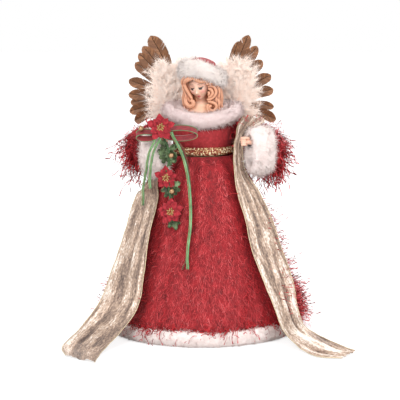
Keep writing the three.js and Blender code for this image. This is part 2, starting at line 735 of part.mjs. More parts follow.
// Spray: a wire that hangs in front of the left fist, and all that is tied to it
const sprayRise = 14;
const sprayTop = bodiceTopHeight + sprayRise;
const sprayLength = 138;
const sprayAcross = 56;
const fistFront = -armPoint(-1, armShares.left.fist).y + fingerForward + fingerRadius * fingerDepthShare;
const sprayForward = fistFront + seatGap + stemRadius;
const stemSides = 2;
const stemSteps = 18;
const stemRouteShares = [
  [1, 1, 0], [1, 1, 0.1], [0.84, 1.02, 0.24], [0.79, 1.04, 0.36], [0.9, 1.065, 0.53],
  [0.79, 1.1, 0.68], [0.79, 1.13, 0.86], [0.66, 1.15, 1],
];
const stemPoints = stemRouteShares.map(([acrossShare, forwardShare, dropShare]) => new THREE.Vector3(
  -sprayAcross * acrossShare,
  -sprayForward * forwardShare,
  sprayTop - sprayLength * dropShare,
));
const stemShape = rod(stemPoints, stemRadius, stemSides, stemSteps);
const stemCurve = new THREE.CatmullRomCurve3(stemPoints);
const stemTool = grown(stemShape, seatGap);
add('spray_stem', stemShape, finishes.leaf());

// The stem's centre at a share of its drop, and how far it leans forwards there
function stemAt(dropShare) {
  const z = sprayTop - sprayLength * dropShare;
  const samples = stemCurve.getPoints(stemSteps * 12);
  const i = samples.findIndex((p, k) => p.z <= z || k === samples.length - 1);
  const [above, below] = [samples[Math.max(i - 1, 0)], samples[Math.max(i, 1)]];
  return { place: samples[i].clone(), lean: Math.atan((above.y - below.y) / (above.z - below.z)) };
}

// Felt poinsettias: two layers of folded bracts on a small hub
const bractThickness = 0.9;
const bractWidthShares = [0.3, 0.95, 0.85, 0.06];
function bract(length, width, lift, bearing, height) {
  const petal = shaped(new THREE.BoxGeometry(1, 1, 1, 2, bractWidthShares.length - 1, 1), (p) => {
    const t = p.y + 0.5;
    const keel = Math.abs(p.x) * width * 0.2;
    return new THREE.Vector3(
      width * along(bractWidthShares, t) * p.x,
      length * t,
      height + bractThickness * (p.z + 0.5) + keel * along(bractWidthShares, t) + lift * t * t,
    );
  });
  return petal.rotateZ(bearing);
}

const hubShare = 0.16;
const hubDepth = 3.4;
const bractCount = 4;
function poinsettia(radius) {
  const petals = [];
  for (let i = 0; i < bractCount; i += 1) {
    const bearing = turn * i / bractCount;
    const between = bearing + turn / bractCount / 2;
    petals.push(bract(radius, radius * 0.62, radius * 0.06, bearing, 0));
    petals.push(bract(radius * 0.94, radius * 0.6, radius * 0.14, between, bractThickness));
  }
  const hub = turned([[0, 0], [radius * hubShare, 0], [radius * hubShare, hubDepth], [0, hubDepth]], 8);
  return joined([hub, ...petals]);
}

const stamenCount = 6;
const stamenShare = 0.4;
function stamens(radius) {
  const base = radius * hubShare;
  const spikes = [];
  for (let i = 0; i < stamenCount; i += 1) {
    const spike = new THREE.ConeGeometry(base * 0.34, radius * stamenShare, 4);
    spike.rotateX(quarter).translate(0, 0, radius * stamenShare / 2);
    spikes.push(spike.rotateX(THREE.MathUtils.degToRad(62)).rotateZ(turn * i / stamenCount));
  }
  const knob = ball(base, 7, 4).scale(1, 1, 0.5);
  return joined([knob, ...spikes]).translate(0, 0, hubDepth + seatGap + base * 0.5);
}

// The top flower lies over the bow and its tails, and the lower two on the stem
const flowerRadius = 18.5;
const bowForward = sprayForward + bowRibbonWidth * 0.44;
const bowFront = bowForward + bowRibbonWidth / 2;
const tailForward = bowFront + seatGap + bowRibbonThickness / 2;
const onStem = stemRadius + seatGap;
const onTails = tailForward + bowRibbonThickness / 2 + seatGap - sprayForward;
const flowers = [
  { dropShare: 0.043, sizeShare: 1, yaw: 0, seat: onTails },
  { dropShare: 0.543, sizeShare: 0.9, yaw: 15, seat: onStem },
  { dropShare: 0.87, sizeShare: 0.95, yaw: 4, seat: onStem },
];
flowers.forEach(({ dropShare, sizeShare, yaw, seat }, i) => {
  const radius = flowerRadius * sizeShare;
  const turnAside = THREE.MathUtils.degToRad(yaw);
  const { place, lean } = stemAt(dropShare);
  const face = new THREE.Group();
  face.position.set(place.x, place.y - seat - radius * hubShare * Math.sin(turnAside), place.z);
  face.rotation.set(quarter - lean, turnAside, 0, 'XYZ');
  face.updateMatrixWorld(true);
  const bracts = poinsettia(radius).applyMatrix4(face.matrixWorld);
  const heart = stamens(radius).applyMatrix4(face.matrixWorld);
  add(`poinsettia_${i + 1}`, bracts, finishes.felt());
  add(`stamens_${i + 1}`, heart, finishes.gold());
});

// Holly sprigs: spiny leaves cut from flat cloth, on a short stub that meets the stem
const leafThickness = 0.8;
const leafSpineCount = 3;
function leaf(length, width) {
  const outline = new THREE.Shape();
  outline.moveTo(0, 0);
  for (const side of [1, -1]) {
    for (let i = 1; i <= leafSpineCount + 1; i += 1) {
      const share = i / (leafSpineCount + 1);
      const at = side > 0 ? share : 1 - share;
      const reach = side * width / 2 * Math.sin(Math.PI * at);
      const back = side > 0 ? at - 0.5 / (leafSpineCount + 1) : at + 0.5 / (leafSpineCount + 1);
      outline.quadraticCurveTo(length * back, side * width * 0.24 * Math.sin(Math.PI * back), length * at, reach);
    }
  }
  return new THREE.ExtrudeGeometry(outline, { depth: leafThickness, bevelEnabled: false, curveSegments: 2 });
}

const leafLength = 17;
const leafWidth = 10;
const leafStub = 2.5;
const leafStepShare = 0.4;
const sprigs = [
  { drop: 0.3, leaves: [[150, 1], [215, 0.95], [20, 0.8]] },
  { drop: 0.66, leaves: [[25, 0.95], [70, 0.7], [200, 0.7]] },
  { drop: 0.97, leaves: [[-70, 0.8], [-125, 0.7]] },
];
sprigs.forEach((sprig, i) => {
  const centre = stemCurve.getPointAt(sprig.drop);
  const back = centre.y + stemRadius + seatGap * 2;
  const leaves = sprig.leaves.map(([bearing, share], k) => {
    const blade = leaf(leafLength * share, leafWidth * share).translate(-leafStub, 0, 0);
    blade.rotateZ(THREE.MathUtils.degToRad(bearing)).rotateX(quarter);
    return blade.translate(centre.x, back + leafThickness * (1 + k * leafStepShare), centre.z);
  });
  add(`holly_sprig_${i + 1}`, joined(leaves), finishes.leaf());
});

// Bow: an oval loop each side of the stem
const bowDrop = 15;
const bowHeight = sprayTop - bowDrop;
const bowHalfWidth = 23.5;
const bowHalfHeight = 8.3;
const loopShares = { left: [1.357, 0.36, 0.553, 0.663], right: [0.545, 0, 1, 1] };
const loops = {};
for (const [name, [acrossShare, dropShare, widthShare, heightShare]] of Object.entries(loopShares)) {
  loops[name] = {
    across: sprayAcross * acrossShare,
    z: bowHeight - bowHalfHeight * dropShare,
    halfWidth: bowHalfWidth * widthShare,
    halfHeight: bowHalfHeight * heightShare,
  };
}

// Half of a loop's height at a place across it
function loopHalfHeight(loop, across) {
  return loop.halfHeight * Math.sqrt(1 - ((across - loop.across) / loop.halfWidth) ** 2);
}

function bowLoop({ across, z, halfWidth, halfHeight }) {
  const outline = new THREE.Shape().absellipse(0, 0, halfWidth, halfHeight, 0, turn, false);
  const inner = [halfWidth - bowRibbonThickness, halfHeight - bowRibbonThickness];
  outline.holes.push(new THREE.Path().absellipse(0, 0, inner[0], inner[1], 0, turn, true));
  const ring = new THREE.ExtrudeGeometry(outline, { depth: bowRibbonWidth, bevelEnabled: false, curveSegments: 10 });
  return ring.rotateX(quarter).translate(-across, -bowForward + bowRibbonWidth / 2, z);
}
for (const [name, loop] of Object.entries(loops)) {
  add(`bow_loop_${name}`, cutBy(bowLoop(loop), [stemTool, grown(parts.hand_left, seatGap)]), finishes.felt());
}

// Bow tails: narrow folded ribbon, each with its own route down the front
const tailRise = 2;
const tailTop = bowHeight + tailRise;
const tailLength = 184;
const tailAcross = 80;
const tuckedTailAcross = tailAcross / 2;
const tuckedTailTop = loops.right.z - loopHalfHeight(loops.right, tuckedTailAcross - tailWidth / 2) - seatGap;
const tailRouteShares = [
  [
    [0.78, 1, 0], [0.8, 1, 0.06], [0.885, 0.99, 0.14], [0.92, 0.98, 0.2],
    [0.95, 0.96, 0.3], [0.98, 0.92, 0.36], [1.01, 0.88, 0.44], [1, 0.86, 0.55],
  ],
  [
    [0.68, 1, 0], [0.72, 1, 0.06], [0.8, 0.995, 0.12], [0.85, 0.985, 0.2],
    [0.875, 0.975, 0.28], [0.89, 0.95, 0.34], [0.88, 0.93, 0.42],
  ],
  [
    [0.53, 1, 0], [0.47, 1, 0.05], [0.4, 0.99, 0.11], [0.34, 0.975, 0.17], [0.28, 0.95, 0.25],
    [0.24, 0.97, 0.36], [0.2, 1.03, 0.5], [0.21, 1.14, 0.72], [0.26, 1.25, 0.9], [0.245, 1.3, 0.99],
  ],
  [
    [0.5, 0.955, 0], [0.42, 0.955, 0.04], [0.37, 0.945, 0.08], [0.31, 0.91, 0.16], [0.26, 0.93, 0.3],
    [0.24, 0.99, 0.44], [0.26, 1.1, 0.66], [0.31, 1.21, 0.85], [0.36, 1.27, 0.94],
  ],
];
const tailTops = [tailTop, tailTop, tailTop, tuckedTailTop];
tailRouteShares.forEach((route, i) => {
  const middle = route.map(([acrossShare, forwardShare, dropShare]) => new THREE.Vector3(
    -tailAcross * acrossShare,
    -tailForward * forwardShare,
    tailTops[i] - tailLength * dropShare,
  ));
  const edges = [-0.5, 0.5].map((half) => middle.map((p) => p.clone().setX(p.x + half * tailWidth)));
  add(`bow_tail_${i + 1}`, band(edges[0], edges[1], bowRibbonThickness, 14, 0, 0), finishes.greenEdge());
});

// Gold beads: one on the left loop, two against the stem
const beadReach = stemRadius + seatGap + berryRadius;
const loopBeadAcross = loops.left.across + loops.left.halfWidth / 2;
const loopBeadHeight = loops.left.z + loopHalfHeight(loops.left, loopBeadAcross) + berryRadius + seatGap * 2;
const stemBeadShares = [{ dropShare: 0.322, bearing: 25 }, { dropShare: 0.672, bearing: 35 }];
const beadPlaces = [
  new THREE.Vector3(-loopBeadAcross, -bowForward, loopBeadHeight),
  ...stemBeadShares.map(({ dropShare, bearing }) => {
    const angle = THREE.MathUtils.degToRad(bearing);
    const aside = new THREE.Vector3(Math.sin(angle), -Math.cos(angle), 0);
    return stemAt(dropShare).place.addScaledVector(aside, beadReach);
  }),
];
beadPlaces.forEach((place, i) => {
  add(`gold_berry_${i + 1}`, ball(berryRadius, 10, 7).translate(place.x, place.y, place.z), finishes.gold());
});

export default angel;
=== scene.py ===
# The dressed look of an angel tree topper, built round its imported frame.
# Metres, +Z up, the face towards -Y. Each piece is a mesh with a node-based finish.
import math

import bpy
import numpy as np
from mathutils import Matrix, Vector
from mathutils.bvhtree import BVHTree


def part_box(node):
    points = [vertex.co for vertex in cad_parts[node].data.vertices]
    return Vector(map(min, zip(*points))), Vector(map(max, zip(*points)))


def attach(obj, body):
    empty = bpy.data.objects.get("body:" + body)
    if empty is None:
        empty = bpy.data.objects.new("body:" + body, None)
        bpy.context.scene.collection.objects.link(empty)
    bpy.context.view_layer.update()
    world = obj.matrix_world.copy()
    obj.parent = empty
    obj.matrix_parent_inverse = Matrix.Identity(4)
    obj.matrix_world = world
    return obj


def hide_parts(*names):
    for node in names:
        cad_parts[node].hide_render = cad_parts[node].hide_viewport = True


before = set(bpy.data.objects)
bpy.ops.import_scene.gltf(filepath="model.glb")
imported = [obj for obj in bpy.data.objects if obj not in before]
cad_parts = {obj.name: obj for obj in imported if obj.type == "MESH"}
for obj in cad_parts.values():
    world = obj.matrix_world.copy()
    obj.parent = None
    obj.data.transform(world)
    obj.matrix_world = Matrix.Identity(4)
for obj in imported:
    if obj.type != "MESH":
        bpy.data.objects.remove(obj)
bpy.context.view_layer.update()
scene = bpy.context.scene


def add_object(name, data, place=(0, 0, 0), turn=(0, 0, 0)):
    obj = bpy.data.objects.new(name, data)
    obj.location = place
    obj.rotation_euler = turn
    scene.collection.objects.link(obj)
    return obj


# Camera: a long lens a little above the figure, on a square frame
FRAME_PIXELS = 400
FOCAL_PIXELS = 1562
SENSOR_WIDTH = 36
CAMERA_PLACE = (-0.0035, -2.1596, 0.5228)
CAMERA_DOWN = math.radians(9.05)

camera_data = bpy.data.cameras.new("camera")
camera_data.sensor_width = SENSOR_WIDTH
camera_data.lens = SENSOR_WIDTH * FOCAL_PIXELS / FRAME_PIXELS
camera_data.clip_end = 30
scene.camera = add_object("camera", camera_data, CAMERA_PLACE, (math.pi / 2 - CAMERA_DOWN, 0, 0))
scene.view_settings.view_transform = "Standard"

DOWN = np.array([0.0, 0.0, -1.0])
FLOOR_GAP = 0.0004
MM = 0.001
SIGNS = {"left": -1, "right": 1}


# Finishes
def tint(code):
    """A colour written as 0xRRGGBB, as linear values."""
    channels = [(code >> shift & 255) / 255 for shift in (16, 8, 0)]
    return tuple(c / 12.92 if c <= 0.04045 else ((c + 0.055) / 1.055) ** 2.4 for c in channels) + (1,)


def add_node(tree, kind, values=(), **settings):
    """A node with its settings; each input takes a value, or a link from a socket."""
    node = tree.nodes.new(kind)
    for key, value in settings.items():
        setattr(node, key, value)
    for socket, value in dict(values).items():
        if isinstance(value, bpy.types.NodeSocket):
            tree.links.new(value, node.inputs[socket])
        else:
            node.inputs[socket].default_value = value
    return node


class Finish:
    """A principled material, with short calls for the nodes that feed it."""

    def __init__(self, name, roughness, **sockets):
        self.material = bpy.data.materials.new(name)
        self.material.use_nodes = True
        self.tree = self.material.node_tree
        self.shader = self.tree.nodes["Principled BSDF"]
        self.place = self.node("ShaderNodeTexCoord").outputs["Object"]
        self.shader.inputs["Roughness"].default_value = roughness
        for socket, value in sockets.items():
            self.shader.inputs[socket.replace("_", " ")].default_value = value

    def node(self, kind, values=(), **settings):
        return add_node(self.tree, kind, values, **settings)

    def noise(self, scale, detail=3, stretch=(1, 1, 1), place=None):
        place = self.node("ShaderNodeMapping", {"Vector": place or self.place, "Scale": stretch})
        values = {"Vector": place.outputs["Vector"], "Scale": scale, "Detail": detail}
        return self.node("ShaderNodeTexNoise", values).outputs["Fac"]

    def attribute(self, name, output="Fac"):
        return self.node("ShaderNodeAttribute", attribute_name=name).outputs[output]

    def sum(self, a, b, share):
        """a plus a share of b."""
        return self.node("ShaderNodeMath", {0: b, 1: share, 2: a}, operation="MULTIPLY_ADD").outputs[0]

    def ramp(self, factor, stops):
        node = self.node("ShaderNodeValToRGB", {"Fac": factor})
        elements = node.color_ramp.elements
        while len(elements) < len(stops):
            elements.new(0.5)
        for element, (place, code) in zip(elements, stops):
            element.position = place
            element.color = tint(code)
        return node.outputs["Color"]

    def paint(self, color):
        self.tree.links.new(color, self.shader.inputs["Base Color"])
        return self

    def bump(self, height, distance):
        bump = self.node("ShaderNodeBump", {"Height": height, "Distance": distance})
        self.tree.links.new(bump.outputs["Normal"], self.shader.inputs["Normal"])
        return self.material


def mottled(name, roughness, stops, scale, grain_scale, grain_depth, stretch=(1, 1, 1), **sockets):
    """A finish whose colour drifts between stops and whose surface has a fine grain."""
    finish = Finish(name, roughness, **sockets)
    finish.paint(finish.ramp(finish.noise(scale, 4, stretch), stops))
    return finish.bump(finish.noise(grain_scale, 2, stretch), grain_depth)


def two_tone(name, roughness, low, high, *grain, **sockets):
    return mottled(name, roughness, [(0.3, low), (0.7, high)], *grain, **sockets)


def shaded(name, roughness, stops, drift=(70, 2), share=0.35, grain=(2500, 1), depth=0.0001, **sockets):
    """A finish whose colour follows the shade at each point, with some drift and a fine grain."""
    finish = Finish(name, roughness, **sockets)
    wash = finish.sum(finish.attribute("shade"), finish.noise(*drift), share)
    return finish.paint(finish.ramp(wash, stops)).bump(finish.noise(*grain), depth)


def fur(name, low, high, stops):
    """The finishes of a fur's backing and of its pile."""
    return [two_tone(f"{name}_base", 0.95, low, high, 160, 1400, 0.0005),
            shaded(f"{name}_pile", 0.85, stops, Specular_IOR_Level=0.1)]


EYELASH = [
    two_tone("eyelash_base", 0.9, 0x6A1016, 0xA01E26, 90, 900, 0.0006),
    shaded("eyelash_pile", 0.5, [
        (0.12, 0x52090E), (0.3, 0x8A151C), (0.58, 0xBF252B), (0.84, 0xD2343A), (0.95, 0xDC444A), (1.0, 0xE86A6C),
    ]),
]
FUR = fur("fur", 0xFAEAE6, 0xFFF6F3, [(0.1, 0xEBD6D2), (0.5, 0xF5E6E1), (1.0, 0xFAF0EC)])
BRIM_FUR = fur("brim", 0xF4EAE2, 0xFBF4EE, [(0.1, 0xECDFD9), (0.5, 0xF6EBE6), (1.0, 0xFCF5F2)])
# The collar's fur is the white fur, a little pinker, with painted shade: darker because the collar faces up into the
# lamps
COLLAR_FUR = fur("collar", 0xEBD6D4, 0xF5E6E4, [(0.1, 0xDAC2C0), (0.5, 0xE5D1CE), (1.0, 0xF0E0DD)])
down_base = two_tone("down_base", 0.95, 0xFFDCC8, 0xFFECDF, 90, 1100, 0.0004)
down_pile = shaded("down_pile", 0.9, [(0.1, 0xFFDDCA), (0.45, 0xFFEADC), (1.0, 0xFFF6EF)], Specular_IOR_Level=1.0)
velvet = mottled("velvet", 0.75, [(0.25, 0x82141B), (0.55, 0x9E2026), (0.8, 0xB43038)], 320, 2600, 0.0003,
                 Sheen_Weight=0.12, Sheen_Roughness=0.35)
card = mottled("card", 0.85, [(0.3, 0x8C7353), (0.5, 0xA58B68), (0.7, 0xBBA280)], 140, 900, 0.0002, (1, 1, 5))
padding = two_tone("padding", 0.95, 0xD9D2C6, 0xF0EAE0, 240, 1500, 0.0006)
peg_wood = two_tone("peg_wood", 0.6, 0xA77C47, 0xCBA26B, 240, 900, 0.0002, (6, 6, 0.6))
steel = two_tone("steel", 0.35, 0x7D7F82, 0x9A9C9F, 300, 3000, 0.00003, Metallic=0.9)
gold_wire = two_tone("gold_wire", 0.35, 0xB19A74, 0xDCCDB0, 500, 3000, 0.0001, Metallic=0.5)
gold_tape = mottled("gold_tape", 0.7, [(0.35, 0x8A2A26), (0.65, 0xA8543C)], 700, 2500, 0.0003)
# Gold cords with red-brown between the glitter, and near-white painted glints on the gold
gold_glitter = mottled(
    "gold_glitter", 0.45, [(0.415, 0x8C2C28), (0.495, 0xB0623F), (0.56, 0xE6C88E), (0.64, 0xFFF8DC)],
    420, 3000, 0.0004, Metallic=0.15)
gold_bead = two_tone("gold_bead", 0.25, 0x8C6746, 0xC4A07C, 300, 2000, 0.00002, Metallic=0.85)
gold_stamen = two_tone("gold_stamen", 0.35, 0xA58F4A, 0xE0CF8E, 900, 3000, 0.0001, Metallic=0.5)
red_felt = mottled("red_felt", 0.85, [(0.3, 0x7C151F), (0.52, 0xA41F2C), (0.75, 0xC03C45)], 260, 3200, 0.0003,
                   Sheen_Weight=0.15, Sheen_Roughness=0.4)
holly_green = mottled("holly_green", 0.45, [(0.34, 0x202A15), (0.5, 0x384A26), (0.66, 0x7C9468)], 130, 1500, 0.0003)
bow_red = two_tone("bow_red", 0.45, 0x66111A, 0x9A212A, 260, 2600, 0.0002, (1, 1, 4), Sheen_Weight=0.3)
bow_green = two_tone("bow_green", 0.38, 0x3A8444, 0x8AC888, 90, 2600, 0.0002, Sheen_Weight=0.3)
loop_green = two_tone("loop_green", 0.4, 0x2F5C36, 0x6E9E68, 90, 2600, 0.0002, Sheen_Weight=0.3)
stem_tape = two_tone("stem_tape", 0.6, 0x2C4A26, 0x4B6E41, 400, 2400, 0.0002)
peach_skin = two_tone("peach_skin", 0.45, 0xE2AE96, 0xEEC3AC, 160, 2200, 0.00003,
                      Subsurface_Weight=0.08, Subsurface_Scale=0.002)
# Pale at a feather's root, then brown, and bronze at its tip
feather_barbs = shaded("feather_barbs", 0.5, [
    (0.04, 0xF9EADF), (0.22, 0xE4C4A8), (0.38, 0xAC7A56), (0.56, 0x895C3B), (0.78, 0x6E472E), (0.97, 0xA3704A),
], (260, 3), 0.22, (1800, 1), Metallic=0.15, Sheen_Weight=0.1)
# Painted shade in the grooves between the locks, and painted highlight on their crests
moulded_hair = shaded("moulded_hair", 0.45, [(0.22, 0x5E3526), (0.52, 0xA0664C), (0.8, 0xC28565), (1.0, 0xD89E7E)],
                      (300, 3), 0.25, (1800, 3, (1, 1, 0.3)), 0.00008)


def mesh_finish():
    """A shiny weave with long threads, painted bands of sheen, and painted shade in its folds."""
    finish = Finish("gold_mesh", 0.45, Metallic=0.3)
    weave = finish.attribute("weave", "Vector")
    threads = finish.noise(1000, 3, (1, 0.09, 1), weave)
    sheen_bands = finish.noise(62, 3, (1, 0.34, 1), weave)
    grain = finish.noise(430, 2, (1, 0.6, 1), weave)
    streak = finish.sum(finish.sum(finish.attribute("shade"), threads, 0.5), sheen_bands, 0.7)
    streak = finish.sum(streak, grain, 0.5)
    finish.paint(finish.ramp(streak, [(0.34, 0x5A4B45), (0.5, 0x8F796B), (0.64, 0xC2A792), (0.78, 0xF3E9DF)]))
    return finish.bump(threads, 0.0005)


def skin_finish():
    """Resin skin whose colours are painted at its points, with fine freckles."""
    finish = Finish("painted_skin", 0.42, Subsurface_Weight=0.08, Subsurface_Scale=0.002)
    freckle = finish.ramp(finish.noise(700, 3), [(0.3, 0xF3EFED), (0.7, 0xFFFFFF)])
    values = {"Fac": 1.0, "Color1": finish.attribute("paint", "Color"), "Color2": freckle}
    finish.paint(finish.node("ShaderNodeMixRGB", values, blend_type="MULTIPLY").outputs["Color"])
    return finish.bump(finish.noise(2600, 2), 0.00002)


gold_mesh = mesh_finish()
painted_skin = skin_finish()


# Mesh helpers
def round_turn(count):
    """Even bearings all the way round, in radians."""
    return np.linspace(0, 2 * np.pi, count, endpoint=False)


def smooth_step(low, high, value):
    share = np.clip((value - low) / (high - low), 0, 1)
    return share * share * (3 - 2 * share)


def unit(vectors):
    return vectors / np.maximum(np.linalg.norm(vectors, axis=-1, keepdims=True), 1e-12)


def box(node):
    """The lowest and the highest corner of a CAD node."""
    return (np.array(corner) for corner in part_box(node))


def node_points(node):
    return np.array([v.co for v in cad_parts[node].data.vertices])


def piece(name, part, material, replaces=()):
    """A visible mesh with its finish, which rides on the figure. Its part
    is points and faces, then for some a shade for each point, and the direction that it is lit by."""
    points, faces, *more = part
    mesh = bpy.data.meshes.new(name)
    mesh.from_pydata(np.asarray(points).tolist(), [], faces.tolist() if isinstance(faces, np.ndarray) else faces)
    mesh.validate()
    mesh.polygons.foreach_set("use_smooth", [True] * len(mesh.polygons))
    if more:
        mesh.attributes.new("shade", "FLOAT", "POINT").data.foreach_set("value", more[0])
    mesh.update()
    if len(more) > 1:
        mesh.normals_split_custom_set_from_vertices(more[1])
    obj = add_object(name, mesh)
    for finish in material if isinstance(material, list) else [material]:
        mesh.materials.append(finish)
    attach(obj, "root")
    if replaces:
        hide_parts(*replaces)
    return obj


def set_paint(obj, colours):
    """Paints a piece: four linear values for each point."""
    obj.data.attributes.new("paint", "FLOAT_COLOR", "POINT").data.foreach_set("color", colours.ravel())


def grid_faces(rows, columns, wrap=False):
    """Quads of a grid of points; wrap joins its last column to its first."""
    width = columns if wrap else columns - 1
    i, j = np.meshgrid(np.arange(rows - 1), np.arange(width), indexing="ij")
    i, j, k = i.ravel(), j.ravel(), (j.ravel() + 1) % columns
    return np.stack([i * columns + j, i * columns + k, (i + 1) * columns + k, (i + 1) * columns + j], 1)


def merged(parts):
    """Several parts as one, each with its points, its faces and values at its points."""
    starts = np.cumsum([0] + [len(part[0]) for part in parts])
    faces = [np.asarray(part[1]) + start for part, start in zip(parts, starts)]
    values = [np.concatenate(column) for column in list(zip(*parts))[2:]]
    return [np.concatenate([part[0] for part in parts]), np.concatenate(faces), *values]


def collect(parts):
    """Several (points, faces) parts whose faces may have any number of corners, as one."""
    points, faces, start = [], [], 0
    for part_points, part_faces in parts:
        points.append(np.asarray(part_points))
        faces += [[corner + start for corner in face] for face in part_faces]
        start += len(part_points)
    return np.concatenate(points), faces


def corners(points, quads):
    return (points[quads[:, k]] for k in range(4))


def vertex_normals(points, quads):
    a, b, c, d = corners(points, quads)
    face = np.cross(c - a, d - b)
    normals = np.zeros_like(points)
    for k in range(4):
        np.add.at(normals, quads[:, k], face)
    return unit(normals)


def rounded(data, voxel, rounds):
    """The outside of a mesh as an even, rounded skin of quads; the mesh itself is used up."""
    copy = add_object("soft", data)
    even = copy.modifiers.new("even", "REMESH")
    even.mode = "VOXEL"
    even.voxel_size = voxel
    ease = copy.modifiers.new("ease", "SMOOTH")
    ease.factor = 0.5
    ease.iterations = rounds
    mesh = copy.evaluated_get(bpy.context.evaluated_depsgraph_get()).to_mesh()
    points = np.empty(len(mesh.vertices) * 3)
    mesh.vertices.foreach_get("co", points)
    ends = np.empty(len(mesh.loops), dtype=int)
    mesh.loops.foreach_get("vertex_index", ends)
    bpy.data.objects.remove(copy)
    bpy.data.meshes.remove(data)
    return points.reshape(-1, 3), ends.reshape(-1, 4)


def rounded_node(node, voxel, rounds, extra=None):
    """A CAD solid as a rounded skin. An extra part, points and faces, grows from it."""
    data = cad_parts[node].data.copy()
    if extra:
        solid = [v.co for v in data.vertices], [list(p.vertices) for p in data.polygons]
        points, faces = collect([solid, extra])
        data.clear_geometry()
        data.from_pydata(points.tolist(), [], faces)
    return rounded(data, voxel, rounds)


def rounded_parts(parts, voxel, rounds):
    """Parts in millimetres, joined into one rounded skin in metres."""
    points, faces = collect(parts)
    mesh = bpy.data.meshes.new("parts")
    mesh.from_pydata((points * MM).tolist(), [], faces)
    return rounded(mesh, voxel, rounds)


def wobble(points, size, seed=0):
    """Smooth noise from -1 to 1 at each point, with features of about one size."""
    place = np.asarray(points) / size + seed * 7.31
    cell = np.floor(place).astype(np.int64)
    part = place - cell
    part = part * part * (3 - 2 * part)
    total = np.zeros(len(place))
    for corner in np.ndindex(2, 2, 2):
        x, y, z = (cell + corner).T
        code = (x * 73856093) ^ (y * 19349663) ^ (z * 83492791)
        code = (code ^ (code >> 13)) * 1274126177 & 0xFFFFFF
        total += np.prod(np.where(corner, part, 1 - part), axis=1) * (code / 0x7FFFFF - 1)
    return total


def scattered(points, quads, count, rng, keep=None):
    """Even random places on a skin, with the skin's normal at each; keep favours some faces."""
    a, b, c, d = corners(points, quads)
    face = np.cross(c - a, d - b)
    size = np.linalg.norm(face, axis=1)
    if keep is not None:
        size = size * keep((a + c) / 2, unit(face))
    pick = rng.choice(len(quads), count, p=size / size.sum())
    u, v = rng.random((2, count, 1))
    place = (1 - u) * ((1 - v) * a[pick] + v * b[pick]) + u * ((1 - v) * d[pick] + v * c[pick])
    return place, unit(face[pick])


def ribbons(middle, side, half, shade, normals):
    """Flat fibres round their middle lines, with their points, faces, shades and shading directions."""
    count, steps = middle.shape[:2]
    points = np.stack([middle - side * half, middle + side * half], 2)
    points[..., 2] = np.maximum(points[..., 2], FLOOR_GAP)
    rows = np.arange(steps - 1)
    one = np.stack([rows * 2, rows * 2 + 1, rows * 2 + 3, rows * 2 + 2], 1)
    faces = (one[None] + (np.arange(count) * steps * 2)[:, None, None]).reshape(-1, 4)
    shade = np.broadcast_to(shade[..., None], (count, steps, 2)).reshape(-1)
    lit = np.broadcast_to(unit(normals)[:, None, None], points.shape).reshape(-1, 3)
    points = points.reshape(-1, 3)
    a, b, c, d = corners(points, faces)
    inward = np.sum(np.cross(c - a, d - b) * lit[faces[:, 0]], axis=1) < 0
    faces[inward] = faces[inward, ::-1]
    return points, faces, shade, lit


CLUMP_SIZE = 0.0024
CLUMP_SHADE = 0.22
PILE_STRAY = 0.5


def sagging(roots, ways, lengths, droop, bend, t):
    """The middle line of each fibre, which leaves its root and then sags and bends."""
    return roots[:, None] + lengths[:, None, None] * (ways[:, None] * t + (DOWN * droop + bend)[:, None] * t * t)


def strands(roots, ways, normals, lengths, widths, rng, droop, curl, segments=3, tip=0.15):
    """Tapering fibres, each with a flat side outwards."""
    count = len(roots)
    t = np.linspace(0, 1, segments + 1)[None, :, None]
    bend = rng.normal(size=(count, 3)) * curl
    middle = sagging(roots, ways, lengths, droop, bend, t)
    side = unit(np.cross(ways, normals) + rng.normal(size=(count, 3)) * 0.25)[:, None]
    half = widths[:, None, None] / 2 * (1 - (1 - tip) * t)
    clump = CLUMP_SHADE * wobble(roots * [1, 1, 0.35], CLUMP_SIZE, 8)[:, None]
    # Each fibre's shade drifts at random and by clump, with painted shade towards its root
    shade = rng.random((count, 1)) * 0.55 + 0.3 * t[..., 0] + 0.08 + clump
    return ribbons(middle, side, half, shade, normals)


def curls(roots, ways, normals, lengths, width, rng, droop, wave, turns, segments, tone):
    """Long loose fibres that hang in waves and end in a small knot, lit from above."""
    count = len(roots)
    t = np.linspace(0, 1, segments + 1)[None, :, None]
    side = unit(np.cross(ways, normals) + rng.normal(size=(count, 3)) * 0.4)[:, None]
    lift = unit(np.cross(side, ways[:, None]))
    angle = 2 * np.pi * (rng.random((count, 1, 1)) + turns * rng.uniform(0.5, 1.5, (count, 1, 1)) * t)
    swing = wave * rng.uniform(0.4, 1.4, (count, 1, 1)) * np.minimum(1, 4 * t)
    bend = rng.normal(size=(count, 3)) * 0.2
    middle = sagging(roots, ways, lengths, droop, bend, t)
    middle = middle + swing * (side * np.sin(angle) + lift * np.cos(angle))
    way = unit(np.gradient(middle, axis=1))
    half = width / 2 * rng.uniform(0.6, 1.3, (count, 1, 1)) * (1 - 0.4 * t + 0.8 * (t > 0.9))
    # Each fibre's own tone and a random drift, with painted shade towards its root
    shade = tone + rng.random((count, 1)) * 0.6 + 0.2 * t[..., 0]
    return ribbons(middle, unit(np.cross(way, normals[:, None])), half, shade, unit(normals * 0.5 - DOWN))


def combed(normals, rng, out, down, stray):
    """Directions between the skin's normal and straight down, with some disorder."""
    return unit(normals * out + DOWN * down + rng.normal(size=normals.shape) * stray)


def spline(points, count):
    """A smooth curve through points, as evenly numbered places."""
    points = np.asarray(points, float)
    padded = np.concatenate([[2 * points[0] - points[1]], points, [2 * points[-1] - points[-2]]])
    place = np.linspace(0, len(points) - 1, count)
    i = np.minimum(place.astype(int), len(points) - 2)
    t = (place - i)[:, None]
    a, b, c, d = (padded[i + k] for k in range(4))
    return 0.5 * (2 * b + (c - a) * t + (2 * a - 5 * b + 4 * c - d) * t**2 + (3 * b - a - 3 * c + d) * t**3)


